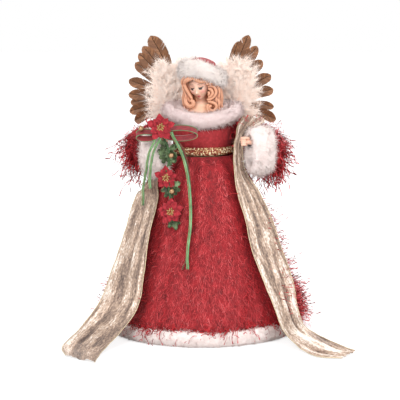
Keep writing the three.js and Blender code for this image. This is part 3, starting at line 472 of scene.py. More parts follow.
def axes_along(line, up):
    """A side and a lift direction at each place of a line, without twist."""
    ways = unit(np.gradient(line, axis=0))
    side = np.empty_like(line)
    guide = np.array(up, float)
    for i, way in enumerate(ways):
        guide = guide - way * guide.dot(way)
        guide = guide / max(np.linalg.norm(guide), 1e-9)
        side[i] = np.cross(way, guide)
    return side, np.cross(side, ways)


def tube(line, radii, sides=8, flat=1.0, ridges=0, ridge_depth=0.0, twist=0.0, up=(0, 0, 1)):
    """A closed tube along a line; ridges run along it, and flat squashes it."""
    side, lift = axes_along(line, up)
    angle = round_turn(sides)[None]
    turned = angle + twist * np.linspace(0, 1, len(line))[:, None]
    radius = np.broadcast_to(radii, len(line))[:, None] * (1 + ridge_depth * np.cos(ridges * angle))
    ring = line[:, None] + side[:, None] * (np.cos(turned) * radius)[..., None]
    ring = ring + lift[:, None] * (np.sin(turned) * radius * flat)[..., None]
    points = ring.reshape(-1, 3)
    faces = grid_faces(len(line), sides, wrap=True).tolist()
    faces.append(list(range(sides)))
    faces.append(list(range(len(points) - sides, len(points)))[::-1])
    return points, faces


def fleece(name, node, voxel, rounds, count, materials, seed, length=0.0055, width=0.0007, out=0.26,
           down=0.1, lumps=0.0008, lump_size=0.008, keep=None, droop=0.1, curl=0.3, extra=None, trim=None):
    """A padded skin in place of a soft solid, and the short pile that covers it.
    An extra part grows from the skin, and trim says how far each point goes in along its normal."""
    rng = np.random.default_rng(seed)
    points, quads = rounded_node(node, voxel, rounds, extra)
    normals = vertex_normals(points, quads)
    if trim:
        points = points - normals * trim(normals)[:, None]
    points = points + normals * (wobble(points, lump_size, seed) * lumps)[:, None]
    points[:, 2] = np.maximum(points[:, 2], FLOOR_GAP)
    base = piece(f"{name}_pad", (points, quads), materials[0], [node])
    roots, normal = scattered(points, quads, count, rng, keep)
    lengths = length * rng.uniform(0.6, 1.15, count)
    ways = combed(normal, rng, out, down, PILE_STRAY)
    widths = width * rng.uniform(0.7, 1.3, count)
    pile = strands(roots - normal * length * 0.1, ways, normal, lengths, widths, rng, droop, curl, 2)
    piece(f"{name}_pile", pile, materials[1])
    return base


# White fur: hem, collar, cuffs and the hat's brim
LINING_HALF_WIDTH = 0.033
LINING_HALF_DEPTH = 0.025
LINING_RADIUS = 0.009
LINING_HEIGHT = 0.304
LINING_FRONT_DROP = 0.012
CUFF_FILL = 0.013


def outside(centres, normals):
    """Favours faces that look away from the figure's axis."""
    return (np.sum(centres[:, :2] * normals[:, :2], axis=1) > -0.0008) * 1.0 + 0.02


def lining():
    """A ring of fur between the collar and the bust, lower at the front."""
    turn = np.linspace(0, 2 * np.pi, 61)
    height = LINING_HEIGHT - LINING_FRONT_DROP * np.maximum(0, np.cos(turn)) ** 1.6
    line = np.stack([LINING_HALF_WIDTH * np.sin(turn), -LINING_HALF_DEPTH * np.cos(turn), height], 1)
    return tube(line, LINING_RADIUS, 20)


def cuff(side, seed):
    """A cuff whose fur closes in round the wrist."""
    low, high = box(f"cuff_{side}")
    middle = (low + high) / 2
    low, high = box(f"hand_{side}")
    ahead = unit((low + high) / 2 - middle)
    filling = tube(np.array([middle - ahead * 0.002, middle + ahead * CUFF_FILL]), np.array([0.020, 0.017]), 24)
    fleece(f"cuff_{side}", f"cuff_{side}", 0.0018, 10, 13000, FUR, seed, extra=filling)


fleece("hem", "hem_trim", 0.0028, 3, 26000, FUR, 11, keep=outside, lumps=0.0009, lump_size=0.011)
fleece("collar", "collar_trim", 0.0018, 8, 27000, COLLAR_FUR, 12, extra=lining())
cuff("left", 13)
cuff("right", 14)
fleece("brim", "hat_brim", 0.0018, 8, 17000, BRIM_FUR, 15)

# Skirt: a gathered cloth skin that is read off the solid, and its long eyelash pile
SKIRT_SIDES = 300
SKIRT_ROWS = 80
CLOTH = 0.0016
RAY_START = 0.4
LASH_COUNT = 62000
LASH_LENGTH = 0.007
LASH_WIDTH = 0.0006
PAINTED_GATHER_SHADE = 0.2


def gather_wave(angles):
    """The gathers round the skirt, from -1 in a fold's valley to 1 on its crest."""
    return np.cos(angles * 17 + 2 * np.sin(angles * 3))


def surface_radius(tree, angle, z):
    """How far out the solid's surface lies at a bearing and a height."""
    way = Vector((math.cos(angle), math.sin(angle), 0))
    hit = tree.ray_cast(way * RAY_START + Vector((0, 0, z)), -way)
    return Vector((hit[0].x, hit[0].y)).length if hit[0] else 0


def skirt_skin():
    """Rows of points round the cloth's outside and inside."""
    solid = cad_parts["skirt"].data
    tree = BVHTree.FromPolygons([v.co for v in solid.vertices], [p.vertices for p in solid.polygons])
    low, high = (corner.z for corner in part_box("skirt"))
    angles = round_turn(SKIRT_SIDES)
    heights = np.linspace(low + CLOTH / 2, high - CLOTH / 2, SKIRT_ROWS)
    radius = np.array([[surface_radius(tree, a, z) for a in angles] for z in heights])
    for _ in range(3):
        radius = (np.roll(radius, 1, 1) + radius * 2 + np.roll(radius, -1, 1)) / 4
    share = (heights - low) / (high - low)
    radius = radius - 0.002 + gather_wave(angles)[None] * (0.0012 + 0.0006 * share[:, None])
    outer = np.stack([radius * np.cos(angles), radius * np.sin(angles),
                      np.broadcast_to(heights[:, None], radius.shape)], 2)
    uneven = (wobble(outer.reshape(-1, 3), 0.02, 3) * 0.0015).reshape(radius.shape)[..., None]
    outer = outer + uneven * unit(outer * [1, 1, 0])
    return outer, outer - unit(outer * [1, 1, 0]) * CLOTH


def shell(outer, inner):
    """A closed thin wall between two rings of rows that run round."""
    rows, columns = outer.shape[:2]
    size = rows * columns
    skin = grid_faces(rows, columns, wrap=True)
    i = np.arange(columns)
    k = (i + 1) % columns
    low = np.stack([i, i + size, k + size, k], 1)
    top = (rows - 1) * columns
    high = np.stack([top + i, top + k, top + k + size, top + i + size], 1)
    faces = np.concatenate([skin, skin[:, ::-1] + size, low, high])
    return np.concatenate([outer.reshape(-1, 3), inner.reshape(-1, 3)]), faces


def at_sides(centres, normals):
    return 0.04 + smooth_step(0.4, 0.95, np.abs(normals[:, 0])) * (centres[:, 2] < 0.2)


def right_edge(centres, normals):
    return smooth_step(0.8, 0.95, normals[:, 0]) * (centres[:, 2] < 0.18) * (centres[:, 2] > 0.075)


def low_tuft(centres, normals):
    """The thick tufts low down on the right, and fewer on the left."""
    side = smooth_step(0.72, 0.9, normals[:, 0]) + 0.25 * smooth_step(0.72, 0.9, -normals[:, 0])
    return side * smooth_step(0.085, 0.055, centres[:, 2])


# Loose fibres: how many, length, width, shares outwards and downwards, droop, wave, tone,
# the rows of the skirt that they grow from, and the places that they favour
LOOSE_FIBRES = [
    (1500, 0.017, 0.0008, 0.5, 0.6, 0.35, 0.0013, 0.1, SKIRT_ROWS, at_sides),
    (520, 0.028, 0.001, 0.9, 0.3, 0.3, 0.0022, 0.05, SKIRT_ROWS, right_edge),
    (3000, 0.022, 0.001, 0.95, 0.35, 0.3, 0.002, 0.0, SKIRT_ROWS, low_tuft),
    (1000, 0.017, 0.001, 0.42, 0.8, 0.25, 0.0024, -0.08, 4, None),
]


def skirt():
    outer, inner = skirt_skin()
    cloth = piece("skirt_cloth", shell(outer, inner), EYELASH[0], ["skirt"])
    skin = outer.reshape(-1, 3)
    rng = np.random.default_rng(21)
    roots, normal = scattered(skin, grid_faces(SKIRT_ROWS, SKIRT_SIDES, wrap=True), LASH_COUNT, rng)
    ways = combed(normal, rng, 0.2, 0.8, 0.36)
    points, faces, shade, lit = strands(
        roots, ways, normal, LASH_LENGTH * rng.uniform(0.5, 1.3, LASH_COUNT),
        LASH_WIDTH * rng.uniform(0.6, 1.5, LASH_COUNT), rng, 0.1, 0.3)
    # The gathers show as painted shade in their valleys and painted light on their crests, which fade out downwards
    bearing = np.arctan2(points[:, 1], points[:, 0])
    shade = shade + PAINTED_GATHER_SHADE * gather_wave(bearing) * smooth_step(0.1, 0.23, points[:, 2])
    parts = [(points, faces, shade, lit)]
    for count, length, width, out, fall, droop, wave, tone, rows, keep in LOOSE_FIBRES:
        faces = grid_faces(rows, SKIRT_SIDES, wrap=True)
        roots, normal = scattered(skin[:rows * SKIRT_SIDES], faces, count, rng, keep)
        ways = combed(normal, rng, out, fall, 0.4)
        lengths = length * rng.uniform(0.4, 1.1, count)
        parts.append(curls(roots, ways, normal, lengths, width, rng, droop, wave, 1.8, 8, tone))
    pile = piece("skirt_pile", merged(parts), EYELASH[1])


skirt()

# Sleeves: the same cloth, puffed, with long loose fibres that stand out from it. For each side:
# how far its outer side goes in, its pile's count and length, and its loose fibres' count and length
SLEEVES = {"left": (0.021, 6000, 0.004, 520, 0.027), "right": (0.008, 9000, 0.007, 1350, 0.023)}
WISP_WIDTH = 0.001


def sleeve(side, seed):
    name = f"sleeve_{side}"
    rng = np.random.default_rng(seed)
    sign = SIGNS[side]
    trim, pile_count, pile_length, count, length = SLEEVES[side]
    route = [(sign * 0.040, 0.000, 0.283), (sign * 0.055, -0.001, 0.279), (sign * 0.072, -0.004, 0.266)]
    shoulder = tube(spline(route, 9), np.linspace(0.0095, 0.0135, 9), 16)
    base = fleece(name, name, 0.002, 8, pile_count, EYELASH, seed, length=pile_length,
                  width=0.0006, out=0.3, down=0.5, lumps=0.0022, lump_size=0.012, droop=0.15, curl=0.35,
                  extra=shoulder, trim=lambda n: trim * smooth_step(0.0, 0.85, n[:, 0] * sign - n[:, 2] * 0.3))
    points = np.array([v.co for v in base.data.vertices])
    quads = np.array([p.vertices for p in base.data.polygons])
    roots, normal = scattered(points, quads, count, rng, lambda c, n: np.maximum(n[:, 0] * sign + 0.35, 0.03))
    ways = combed(normal, rng, 0.75, 0.5, 0.45)
    lengths = length * rng.uniform(0.3, 1.1, count)
    wisps = curls(roots, ways, normal, lengths, WISP_WIDTH, rng, 0.45, 0.0022, 2.2, 12, 0.02)
    piece(f"{name}_wisps", wisps, EYELASH[1])


sleeve("left", 31)
sleeve("right", 32)

# Bodice and hat crown: plain short velvet
CROWN_SINK = 0.97
CROWN_SLOPE = 0.2


def velvet_skin(node, voxel, rounds):
    points, quads = rounded_node(node, voxel, rounds)
    return points + vertex_normals(points, quads) * (wobble(points, 0.009, 5) * 0.0006)[:, None], quads


bodice = piece("bodice_cloth", velvet_skin("bodice", 0.0012, 4), velvet, ["bodice"])

points, quads = velvet_skin("hat_crown", 0.001, 10)
sink = CROWN_SINK - CROWN_SLOPE * smooth_step(-0.004, 0.022, points[:, 0])
points[:, 2] = points[:, 2].min() + (points[:, 2] - points[:, 2].min()) * sink
piece("crown_cloth", (points, quads), velvet, ["hat_crown"])

# Braid: three plaited cords between two edge cords, over a flat tape
BRAID_WAVES = 24
BRAID_LIFT = 0.0012
BRAID_STEPS = 680


def braid():
    piece("braid_tape", rounded_node("waist_braid", 0.0011, 2), gold_tape, ["waist_braid"])
    low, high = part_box("waist_braid")
    half = (high - low) / 2
    middle = (low.z + high.z) / 2
    reach = (high.z - low.z) / 2
    angle = np.linspace(0, 2 * np.pi, BRAID_STEPS)

    def round_waist(height, lift):
        return np.stack([(half.x + lift) * np.sin(angle), -(half.y + lift) * np.cos(angle),
                         np.broadcast_to(height, angle.shape)], 1)

    cords = []
    for k in range(3):
        phase = angle * BRAID_WAVES + k * 2 * np.pi / 3
        line = round_waist(middle + reach * 0.52 * np.sin(phase), BRAID_LIFT + 0.0006 * np.sin(2 * phase))
        cords.append(tube(line, 0.00125, 8, ridges=3, ridge_depth=0.18))
    for side in (-1, 1):
        line = round_waist(middle + side * reach * 0.82, BRAID_LIFT)
        cords.append(tube(line, 0.0008, 6, ridges=3, ridge_depth=0.2, twist=200))
    piece("braid_cords", collect(cords), gold_glitter)


braid()

# Wings: each flight feather is a quill with rows of barbs, which overlap as tiles do
WING_HEART = {"left": np.array([-0.044, 0, 0.309]), "right": np.array([0.044, 0, 0.309])}
VANE_PLACES = [0, 0.15, 0.4, 0.6, 0.74, 0.82, 0.88, 0.93, 0.965, 0.985, 1]
VANE_SHARES = [0.2, 0.4, 0.72, 0.9, 0.99, 1.0, 0.94, 0.78, 0.56, 0.34, 0.0]
VANE_CUP = 0.0011
BARB_COUNT = 110
BARB_STEPS = 4
BARB_WIDTH = 0.0013


def feather(name, heart, rng):
    points = node_points(name)
    far = np.linalg.norm((points - heart) * [1, 0, 1], axis=1)
    tip = points[far.argmax()]
    reach = np.linalg.norm((points - tip) * [1, 0, 1], axis=1)
    root = points[reach > reach.max() * 0.97].mean(0)
    layer = points[:, 1].mean()
    tip[1], root[1] = layer, layer
    shaft = tip - root
    length = np.linalg.norm(shaft)
    shaft = shaft / length
    across = np.array([shaft[2], 0, -shaft[0]])
    place = (points - root) @ shaft / length
    aside = (points - root) @ across
    wide = aside[np.abs(place - 0.6) < 0.08]
    half = (wide.max() - wide.min()) / 2
    bow = (wide.max() + wide.min()) / 2

    out = np.array([0, -1, 0])

    def at(t, s):
        """A place on the vane: t along the quill, s from -1 to 1 across it."""
        width = np.interp(t, VANE_PLACES, VANE_SHARES) * half
        middle = root + shaft * (length * t)[..., None] + across * (bow * np.sin(np.pi * t))[..., None]
        lift = VANE_CUP * (1 - s * s) * np.minimum(1, 3 * (1 - t))
        return middle + across * (width * s)[..., None] + out * lift[..., None]

    t = np.linspace(0.04, 0.985, BARB_COUNT)
    step = np.linspace(0, 1, BARB_STEPS + 1)
    parts = []
    for side in (-1, 1):
        ruffle = np.interp(t, np.linspace(0, 1, 12), rng.uniform(-0.025, 0.035, 12))
        group = np.interp(t, np.linspace(0, 1, 22), rng.uniform(-0.14, 0.14, 22))
        split = rng.random(BARB_COUNT) < 0.07
        ahead = (0.15 + ruffle + split * 0.045) * (1 - 0.55 * t)
        along = t[:, None] + ahead[:, None] * step[None] ** 1.3
        spread = step[None] * (1 + rng.normal(size=(BARB_COUNT, 1)) * 0.02)
        along = np.minimum(along, 1 - 0.01 * rng.random((BARB_COUNT, 1)))
        middle = at(along, side * spread)
        way = unit(np.gradient(middle, axis=1))
        edge = unit(np.cross(way, out)) + out * 0.45 * side
        wide = BARB_WIDTH * (1 - 0.4 * step)[None, :, None]
        shade = along * 0.75 + group[:, None] + rng.random((BARB_COUNT, 1)) * 0.24 - 0.12 + 0.12 * step[None] ** 2
        tilt = np.tile(out - across * side * 0.35, (BARB_COUNT, 1))
        parts.append(ribbons(middle, edge, wide / 2, shade, tilt))
    t = np.linspace(0, 0.97, 14)
    line = at(t, np.zeros(14)) - [0, 0.0001, 0]
    quill, quill_faces = tube(line, np.linspace(0.0007, 0.0003, 14), 4, up=(0, 1, 0))
    shade = np.repeat(t * 0.45 + 0.1, 4)
    parts.append((quill, quill_faces[:-2], shade, np.tile([0.0, -1.0, 0.0], (len(quill), 1))))
    piece(f"{name}_vane", merged(parts), feather_barbs, [name])


for node in sorted(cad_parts):
    if node.startswith("feather_"):
        feather(node, WING_HEART[node.split("_")[1]], np.random.default_rng(sum(map(ord, node))))

# Down: soft plumes in front of the feathers' roots, each a short quill with long fine barbs
DOWN_SHARES = [0.8, 1.0, 0.92]
PLUME_COUNT = 240
PLUME_LENGTH = 0.034
PLUME_BARBS = 56
WISP_PLUMES = 26


def plume(root, way, face, length, rng):
    """A curved quill with long barbs on both sides, seen from its face."""
    t = rng.random((PLUME_BARBS, 1)) ** 0.9
    sag = np.array([0, 0, -0.12]) + rng.normal(size=3) * 0.1
    place = root + length * (way * t * 0.75 + (face * 0.16 + sag) * t * t)
    side = unit(np.cross(way, face)) * rng.choice([-1, 1], (PLUME_BARBS, 1))
    off = unit(side * rng.uniform(0.35, 1.1, (PLUME_BARBS, 1)) + way + face * rng.normal(size=(PLUME_BARBS, 1)) * 0.12)
    reach = length * rng.uniform(0.16, 0.42, PLUME_BARBS) * (1.15 - 0.4 * t[:, 0])
    return strands(place, off, np.tile(face, (PLUME_BARBS, 1)), reach, np.full(PLUME_BARBS, 0.0004), rng,
                   0.08, 0.34, tip=0.1)


def down(side, seed):
    rng = np.random.default_rng(seed)
    node = f"down_{side}"
    sign = SIGNS[side]
    points, quads = rounded_node(node, 0.0022, 12)
    normals = vertex_normals(points, quads)
    points = points + normals * (wobble(points, 0.012, seed) * 0.0022 - 0.0015)[:, None]
    inner = np.array([sign * 0.030, points[:, 1].mean(), 0.288])
    points = inner + (points - inner) * DOWN_SHARES
    piece(f"{node}_core", (points, quads), down_base, [node])
    low, high = box(node)
    heart = (low + high) / 2 - [sign * 0.014, 0, 0.030]
    roots, normal = scattered(points, quads, PLUME_COUNT, rng, lambda c, n: np.maximum(0.35 - n[:, 1], 0.15)
                              * (0.15 + smooth_step(0.072, 0.056, np.abs(c[:, 0]))))
    top = np.array([sign * 0.036, points[:, 1].mean(), points[:, 2].max() - 0.010])
    upper = top + rng.normal(size=(WISP_PLUMES, 3)) * [0.007, 0.002, 0.006]
    roots = np.concatenate([roots, upper])
    normal = np.concatenate([normal, np.tile([0.0, -1.0, 0.0], (WISP_PLUMES, 1))])
    fan = unit((roots - heart) * [1, 0.2, 1])
    fan[PLUME_COUNT:] = [-sign * 0.25, 0, 1]
    fan = fan * [0.75, 1, 1] + [0, 0, 0.25]
    ways = unit(fan + normal * 0.1 + rng.normal(size=roots.shape) * [0.4, 0.06, 0.4])
    plumes = merged([
        plume(root, way, unit(face * 0.3 + [-0.25, -0.85, 0.3]), PLUME_LENGTH * rng.uniform(0.5, 1.0), rng)
        for root, way, face in zip(roots, ways, normal)])
    piece(f"{node}_plumes", plumes, down_pile)


down("left", 41)
down("right", 42)

# Shawl: crinkled mesh ribbon with a wire in each edge. Each row gives a bearing, a height share
# and a lift share for both edges, off the skirt.
SHAWL_HEIGHT = 0.300
SHAWL_SPREAD = 0.120
SHAWL_STATIONS = [
    (-33, 0.006, 0.98, -45, 0.006, 0.974), (-38, 0.009, 0.672, -54, 0.01, 0.78),
    (-40, 0.074, 0.299, -60, 0.064, 0.46), (-38, 0.178, 0.139, -60, 0.18, 0.31),
    (-40, 0.318, 0.138, -65, 0.30, 0.24), (-43, 0.49, 0.118, -70, 0.465, 0.18),
    (-49, 0.633, 0.04, -74, 0.62, 0.161), (-60, 0.687, 0.022, -77, 0.653, 0.107),
    (-67, 0.74, 0.044, -82, 0.683, 0.066), (-110, 0.793, 0.091, -108, 0.7, 0.04),
    (-166, 0.82, 0.12, -167, 0.727, 0.061), (140, 0.887, 0.12, 138, 0.793, 0.16),
    (121, 0.953, 0.109, 114, 0.887, 0.298), (103, 0.985, 0.084, 98, 0.97, 0.322),
    (82, 0.983, 0.078, 83, 0.963, 0.328), (60, 0.95, 0.085, 73, 0.945, 0.24),
    (44, 0.905, 0.16, 58, 0.905, 0.2), (38, 0.86, 0.2, 49, 0.86, 0.225),
    (37, 0.76, 0.1, 54, 0.753, 0.094), (37, 0.67, 0.049, 61, 0.663, 0.121),
    (38, 0.544, 0.074, 66, 0.525, 0.144), (38, 0.413, 0.096, 66, 0.394, 0.174),
    (40, 0.283, 0.133, 67, 0.247, 0.168), (41, 0.177, 0.175, 64, 0.132, 0.14),
    (40, 0.074, 0.282, 58, 0.058, 0.25), (40, 0.016, 0.548, 53, 0.036, 0.594),
    (39, 0.008, 0.832, 51, 0.025, 0.822), (43, 0.006, 1.07, 52, 0.008, 0.989),
]
SKIRT_LENGTH = 0.246
HEM_RADIUS = 0.1375
SKIRT_HEIGHT_SHARES = [0, 0.081, 0.203, 0.366, 0.524, 0.70, 0.874, 0.96, 1]
SKIRT_RADIUS_SHARES = [0.995, 0.978, 0.905, 0.788, 0.693, 0.60, 0.482, 0.40, 0.33]
SHAWL_ROWS = 900
SHAWL_COLUMNS = 57
SHAWL_WIDTH = 0.064
SHAWL_WIRE_RADIUS = 0.0006


def off_skirt(bearing, z, lift):
    angle = np.radians(bearing)
    radius = HEM_RADIUS * np.interp(z / SKIRT_LENGTH, SKIRT_HEIGHT_SHARES, SKIRT_RADIUS_SHARES) + lift
    return [radius * np.sin(angle), -radius * np.cos(angle), z]


def edge_wires(name, grid, radius, sides, finish):
    """A wire along each edge of a ribbon, whose grid has a column for each edge."""
    return piece(name, collect([tube(grid[:, k], radius, sides) for k in (0, -1)]), finish)


def shawl():
    edges = [
        spline([off_skirt(row[k], SHAWL_HEIGHT * row[k + 1], SHAWL_SPREAD * row[k + 2])
                for row in SHAWL_STATIONS], SHAWL_ROWS)
        for k in (0, 3)
    ]
    s = np.linspace(0, 1, SHAWL_COLUMNS)[None, :, None]
    grid = edges[0][:, None] * (1 - s) + edges[1][:, None] * s
    normal = unit(np.cross(np.gradient(grid, axis=0), np.gradient(grid, axis=1)))
    run = np.concatenate([[0], np.cumsum(np.linalg.norm(np.diff(grid.mean(1), axis=0), axis=1))])[:, None]
    across = np.broadcast_to(s[..., 0] * SHAWL_WIDTH, grid.shape[:2])
    along = np.broadcast_to(run, across.shape)

    def crinkle(wide, long, seed):
        """Irregular folds that run lengthwise, each about so wide and so long."""
        place = np.stack([across / wide, along / long, np.zeros_like(across)], 2).reshape(-1, 3)
        return wobble(place, 1.0, seed).reshape(across.shape)

    fold = 0.0026 * crinkle(0.009, 0.09, 1) + 0.0012 * crinkle(0.0042, 0.04, 2) + 0.0006 * crinkle(0.0022, 0.011, 3)
    ease = 0.25 + 0.75 * np.minimum(1, np.minimum(s[..., 0], 1 - s[..., 0]) * 9)
    grid = grid + normal * (fold * ease + 0.0004)[..., None]
    grid = grid + unit(np.gradient(grid, axis=1)) * (0.0008 * crinkle(0.006, 0.012, 4))[..., None]
    grid[..., 2] = np.maximum(grid[..., 2], 0.0006)
    # Painted shade in the hollows of the folds, lighter on their crests, and a little darker towards the ribbon's left
    # end
    tone = np.clip(fold / 0.016 - 0.32 + 0.09 * along / along.max(), -0.5, -0.05).reshape(-1)
    part = grid.reshape(-1, 3), grid_faces(SHAWL_ROWS, SHAWL_COLUMNS), tone
    ribbon = piece("shawl_cloth", part, gold_mesh, ["shawl_ribbon"])
    ribbon.data.attributes.new("weave", "FLOAT_VECTOR", "POINT").data.foreach_set(
        "vector", np.stack([across, along, across * 0], 2).ravel())
    wires = edge_wires("shawl_wires", grid[::2], SHAWL_WIRE_RADIUS, 6, gold_wire)


shawl()


# Spray: felt flowers, gold stamens, holly, beads, and a bow of wired ribbon
def petal(length, width, lift, turn, height, rng):
    """A pointed felt petal with a crease, as a closed thin sheet that starts at the flower's middle."""
    rows, columns, thick = 11, 7, 0.0006
    t = np.linspace(0, 1, rows)[:, None]
    s = np.linspace(-1, 1, columns)[None]
    shape = 1.86 * t**0.62 * (1 - t) ** 0.72 + 0.12 * (1 - t)
    edge = 1 + 0.10 * np.sin(t * 13 + turn * 3) * (t > 0.3)
    x = s * width / 2 * shape * edge
    y = length * t * (1 - 0.06 * s * s)
    curl = rng.uniform(-0.12, 0.22)
    z = height + lift * t * t + np.abs(s) * shape * width * 0.13 + curl * length * t**3 * 0.5
    z = z + 0.0005 * np.sin(t * 9 + s * 2 + turn)
    top = np.stack(np.broadcast_arrays(x, y, z), 2).reshape(-1, 3)
    cos, sin = math.cos(turn), math.sin(turn)
    points = np.concatenate([top, top - [0, 0, thick]]) @ np.array([[cos, sin, 0], [-sin, cos, 0], [0, 0, 1]])
    skin = grid_faces(rows, columns)
    size = rows * columns
    rim = [r * columns for r in range(rows)] + [(rows - 1) * columns + c for c in range(1, columns)]
    rim += [r * columns + columns - 1 for r in range(rows - 2, -1, -1)] + list(range(columns - 2, 0, -1))
    sides = [[a, b, b + size, a + size] for a, b in zip(rim, rim[1:] + rim[:1])]
    return points, np.concatenate([skin[:, ::-1], skin + size, sides]).tolist()


def in_place(part, centre, facing, up=(0, 0, 1)):
    """Turns a part that faces +Z so that it faces a direction, and moves it to its place."""
    points, faces = part
    forward = unit(np.array(facing, float))
    side = unit(np.cross(np.array(up, float), forward))
    return points @ np.stack([side, np.cross(forward, side), forward]) + centre, faces


# Petals of a flower, layer by layer: how many, and their reach, lift and start as shares
FLOWER_LAYERS = [(5, 1.04, 0.02, 0.0), (5, 0.84, 0.14, 0.5), (4, 0.5, 0.22, 0.2)]
FLOWER_FACING = np.array([0.12, -1, 0.08])
STAMEN_COUNT = 13
GOLDEN_TURN = 0.381966


def flower(number, seed):
    rng = np.random.default_rng(seed)
    node = f"poinsettia_{number}"
    low, high = box(node)
    radius = (high[0] - low[0]) / 2
    centre = np.array([(low[0] + high[0]) / 2, high[1] - 0.001, (low[2] + high[2]) / 2])
    petals = []
    for layer, (count, reach, lift, start) in enumerate(FLOWER_LAYERS):
        for i in range(count):
            turn = 2 * math.pi * (i + start) / count + rng.uniform(-0.1, 0.1)
            size = radius * reach * rng.uniform(0.96, 1.1)
            petals.append(petal(size, size * 0.74, radius * lift, turn, 0.0008 + 0.0009 * layer, rng))
    piece(f"flower_{number}", in_place(collect(petals), centre, FLOWER_FACING), red_felt, [node])
    parts = []
    for i in range(STAMEN_COUNT):
        turn = 2 * math.pi * i * GOLDEN_TURN
        spread = 0.0012 + 0.0042 * ((i + 1) / STAMEN_COUNT) ** 0.7
        way = np.array([math.cos(turn), math.sin(turn), 0])
        foot = 0.3 * spread * way + [0, 0, 0.002]
        head = spread * way + [0, 0, 0.0066 - spread * 0.45]
        bend = (foot + head) / 2 + [0, 0, 0.0008]
        parts.append(tube(spline([foot, bend, head], 5), 0.00035, 5))
        knob = spline([head - [0, 0, 0.0006], head, head + (head - bend) * 0.25], 5)
        parts.append(tube(knob, np.array([0.0002, 0.00075, 0.0009, 0.0007, 0.0002]), 6, up=(1, 0, 0)))
    heart = in_place(collect(parts), centre, FLOWER_FACING)
    piece(f"flower_heart_{number}", heart, gold_stamen, [f"stamens_{number}"])


# Leaves of each sprig: bearing, size, and the foot's place as shares across and up the sprig
HOLLY_LEAVES = {
    1: [(-90, 0.95, 0.62, 0.3), (-115, 0.85, 0.45, 0.35), (-70, 0.95, 0.72, 0.5), (150, 0.75, 0.45, 0.45),
        (150, 0.85, 0.5, 0.95), (215, 0.9, 0.5, 0.8), (20, 0.75, 0.55, 0.75), (175, 0.8, 0.45, 0.5),
        (-30, 0.8, 0.55, 0.5), (60, 0.7, 0.6, 0.55), (205, 0.8, 0.5, 0.3), (-60, 0.7, 0.5, 0.25),
        (10, 0.65, 0.5, 0.2)],
    2: [(100, 0.8, 0.6, 0.4), (-80, 0.75, 0.5, 0.35), (25, 0.9, 0.45, 0.5), (70, 0.7, 0.5, 0.6),
        (200, 0.8, 0.5, 0.5), (-50, 0.75, 0.5, 0.5), (-5, 0.8, 0.5, 0.35), (235, 0.75, 0.5, 0.3)],
    3: [(-70, 0.8, 0.5, 0.9), (-125, 0.7, 0.5, 0.9), (-20, 0.6, 0.5, 0.9)],
}
LEAF_LENGTH = 0.017
LEAF_WIDTH = 0.0105


def holly_leaf(size):
    """A leaf with spines along its edge and a raised rib, along +Y."""
    length, width = LEAF_LENGTH * size, LEAF_WIDTH * size
    rows, columns = 29, 9
    t = np.linspace(0, 1, rows)[:, None]
    s = np.linspace(-1, 1, columns)[None]
    lobes = 0.62 + 0.38 * np.abs(np.cos(np.pi * 3.5 * t)) ** 1.5
    half = width / 2 * np.sin(np.pi * t**0.9) ** 0.6 * lobes + 0.0002
    z = 0.0016 * np.abs(s) ** 1.5 + 0.0005 * np.sin(t * 14) * s * s + 0.002 * t * t - 0.0003 * np.exp(-(s * 9) ** 2)
    return np.stack(np.broadcast_arrays(s * half, length * t, z), 2).reshape(-1, 3), grid_faces(rows, columns).tolist()


def holly(number, seed):
    rng = np.random.default_rng(seed)
    node = f"holly_sprig_{number}"
    low, high = box(node)
    parts = []
    for bearing, size, across, rise in HOLLY_LEAVES[number]:
        turn = math.radians(bearing)
        facing = (0.25 * math.sin(turn) + rng.uniform(-0.2, 0.2), -1, rng.uniform(-0.1, 0.2))
        foot = np.array([low[0] + (high[0] - low[0]) * across, high[1] - 0.001, low[2] + (high[2] - low[2]) * rise])
        parts.append(in_place(holly_leaf(size), foot, facing, (math.cos(turn), 0, math.sin(turn))))
    leaf = piece(f"holly_{number}", collect(parts), holly_green, [node])
    leaf.modifiers.new("wall", "SOLIDIFY").thickness = 0.0004


def bead(number):
    """A bead with a dimple at its top and a small cap round its wire."""
    node = f"gold_berry_{number}"
    low, high = box(node)
    radius = (high[0] - low[0]) / 2
    turn = np.linspace(0.02, math.pi - 0.02, 20)
    line = np.stack([np.zeros(20), np.zeros(20), -np.cos(turn) * radius], 1)
    dimple = 1 - 0.25 * np.exp(-((turn - math.pi) / 0.25) ** 2)
    ball = tube(line, np.sin(turn) * radius * dimple, 24, up=(1, 0, 0))
    cap = tube(np.array([[0, 0, -radius * 1.02], [0, 0, -radius * 0.9]]), 0.0009, 8, up=(1, 0, 0))
    part = in_place(collect([ball, cap]), (low + high) / 2, (0.2, 0.5, 0.8), (0, 1, 0))
    piece(f"bead_{number}", part, gold_bead, [node])


RIBBON_WIDTH = 0.010
BOW_WIRE_RADIUS = 0.0005
LOOP_STEPS = 72
LOOP_LEAN = math.radians(44)
LOOP_FLATTENING = 0.84
LOOP_WALL = 0.0005


def wired_ribbon(node, line, grid, wall, finishes, wire_name, wire_finish):
    """A ribbon of the bow in place of a solid, with a wire in each edge; it returns the ribbon's piece."""
    part = grid.reshape(-1, 3), grid_faces(*grid.shape[:2])
    ribbon = piece(f"{node}_ribbon", part, finishes, [node])
    ribbon.modifiers.new("wall", "SOLIDIFY").thickness = wall
    wires = edge_wires(wire_name, grid, BOW_WIRE_RADIUS, 5, wire_finish)
    length = round(float(np.linalg.norm(np.diff(line, axis=0), axis=1).sum()), 3)
    return ribbon


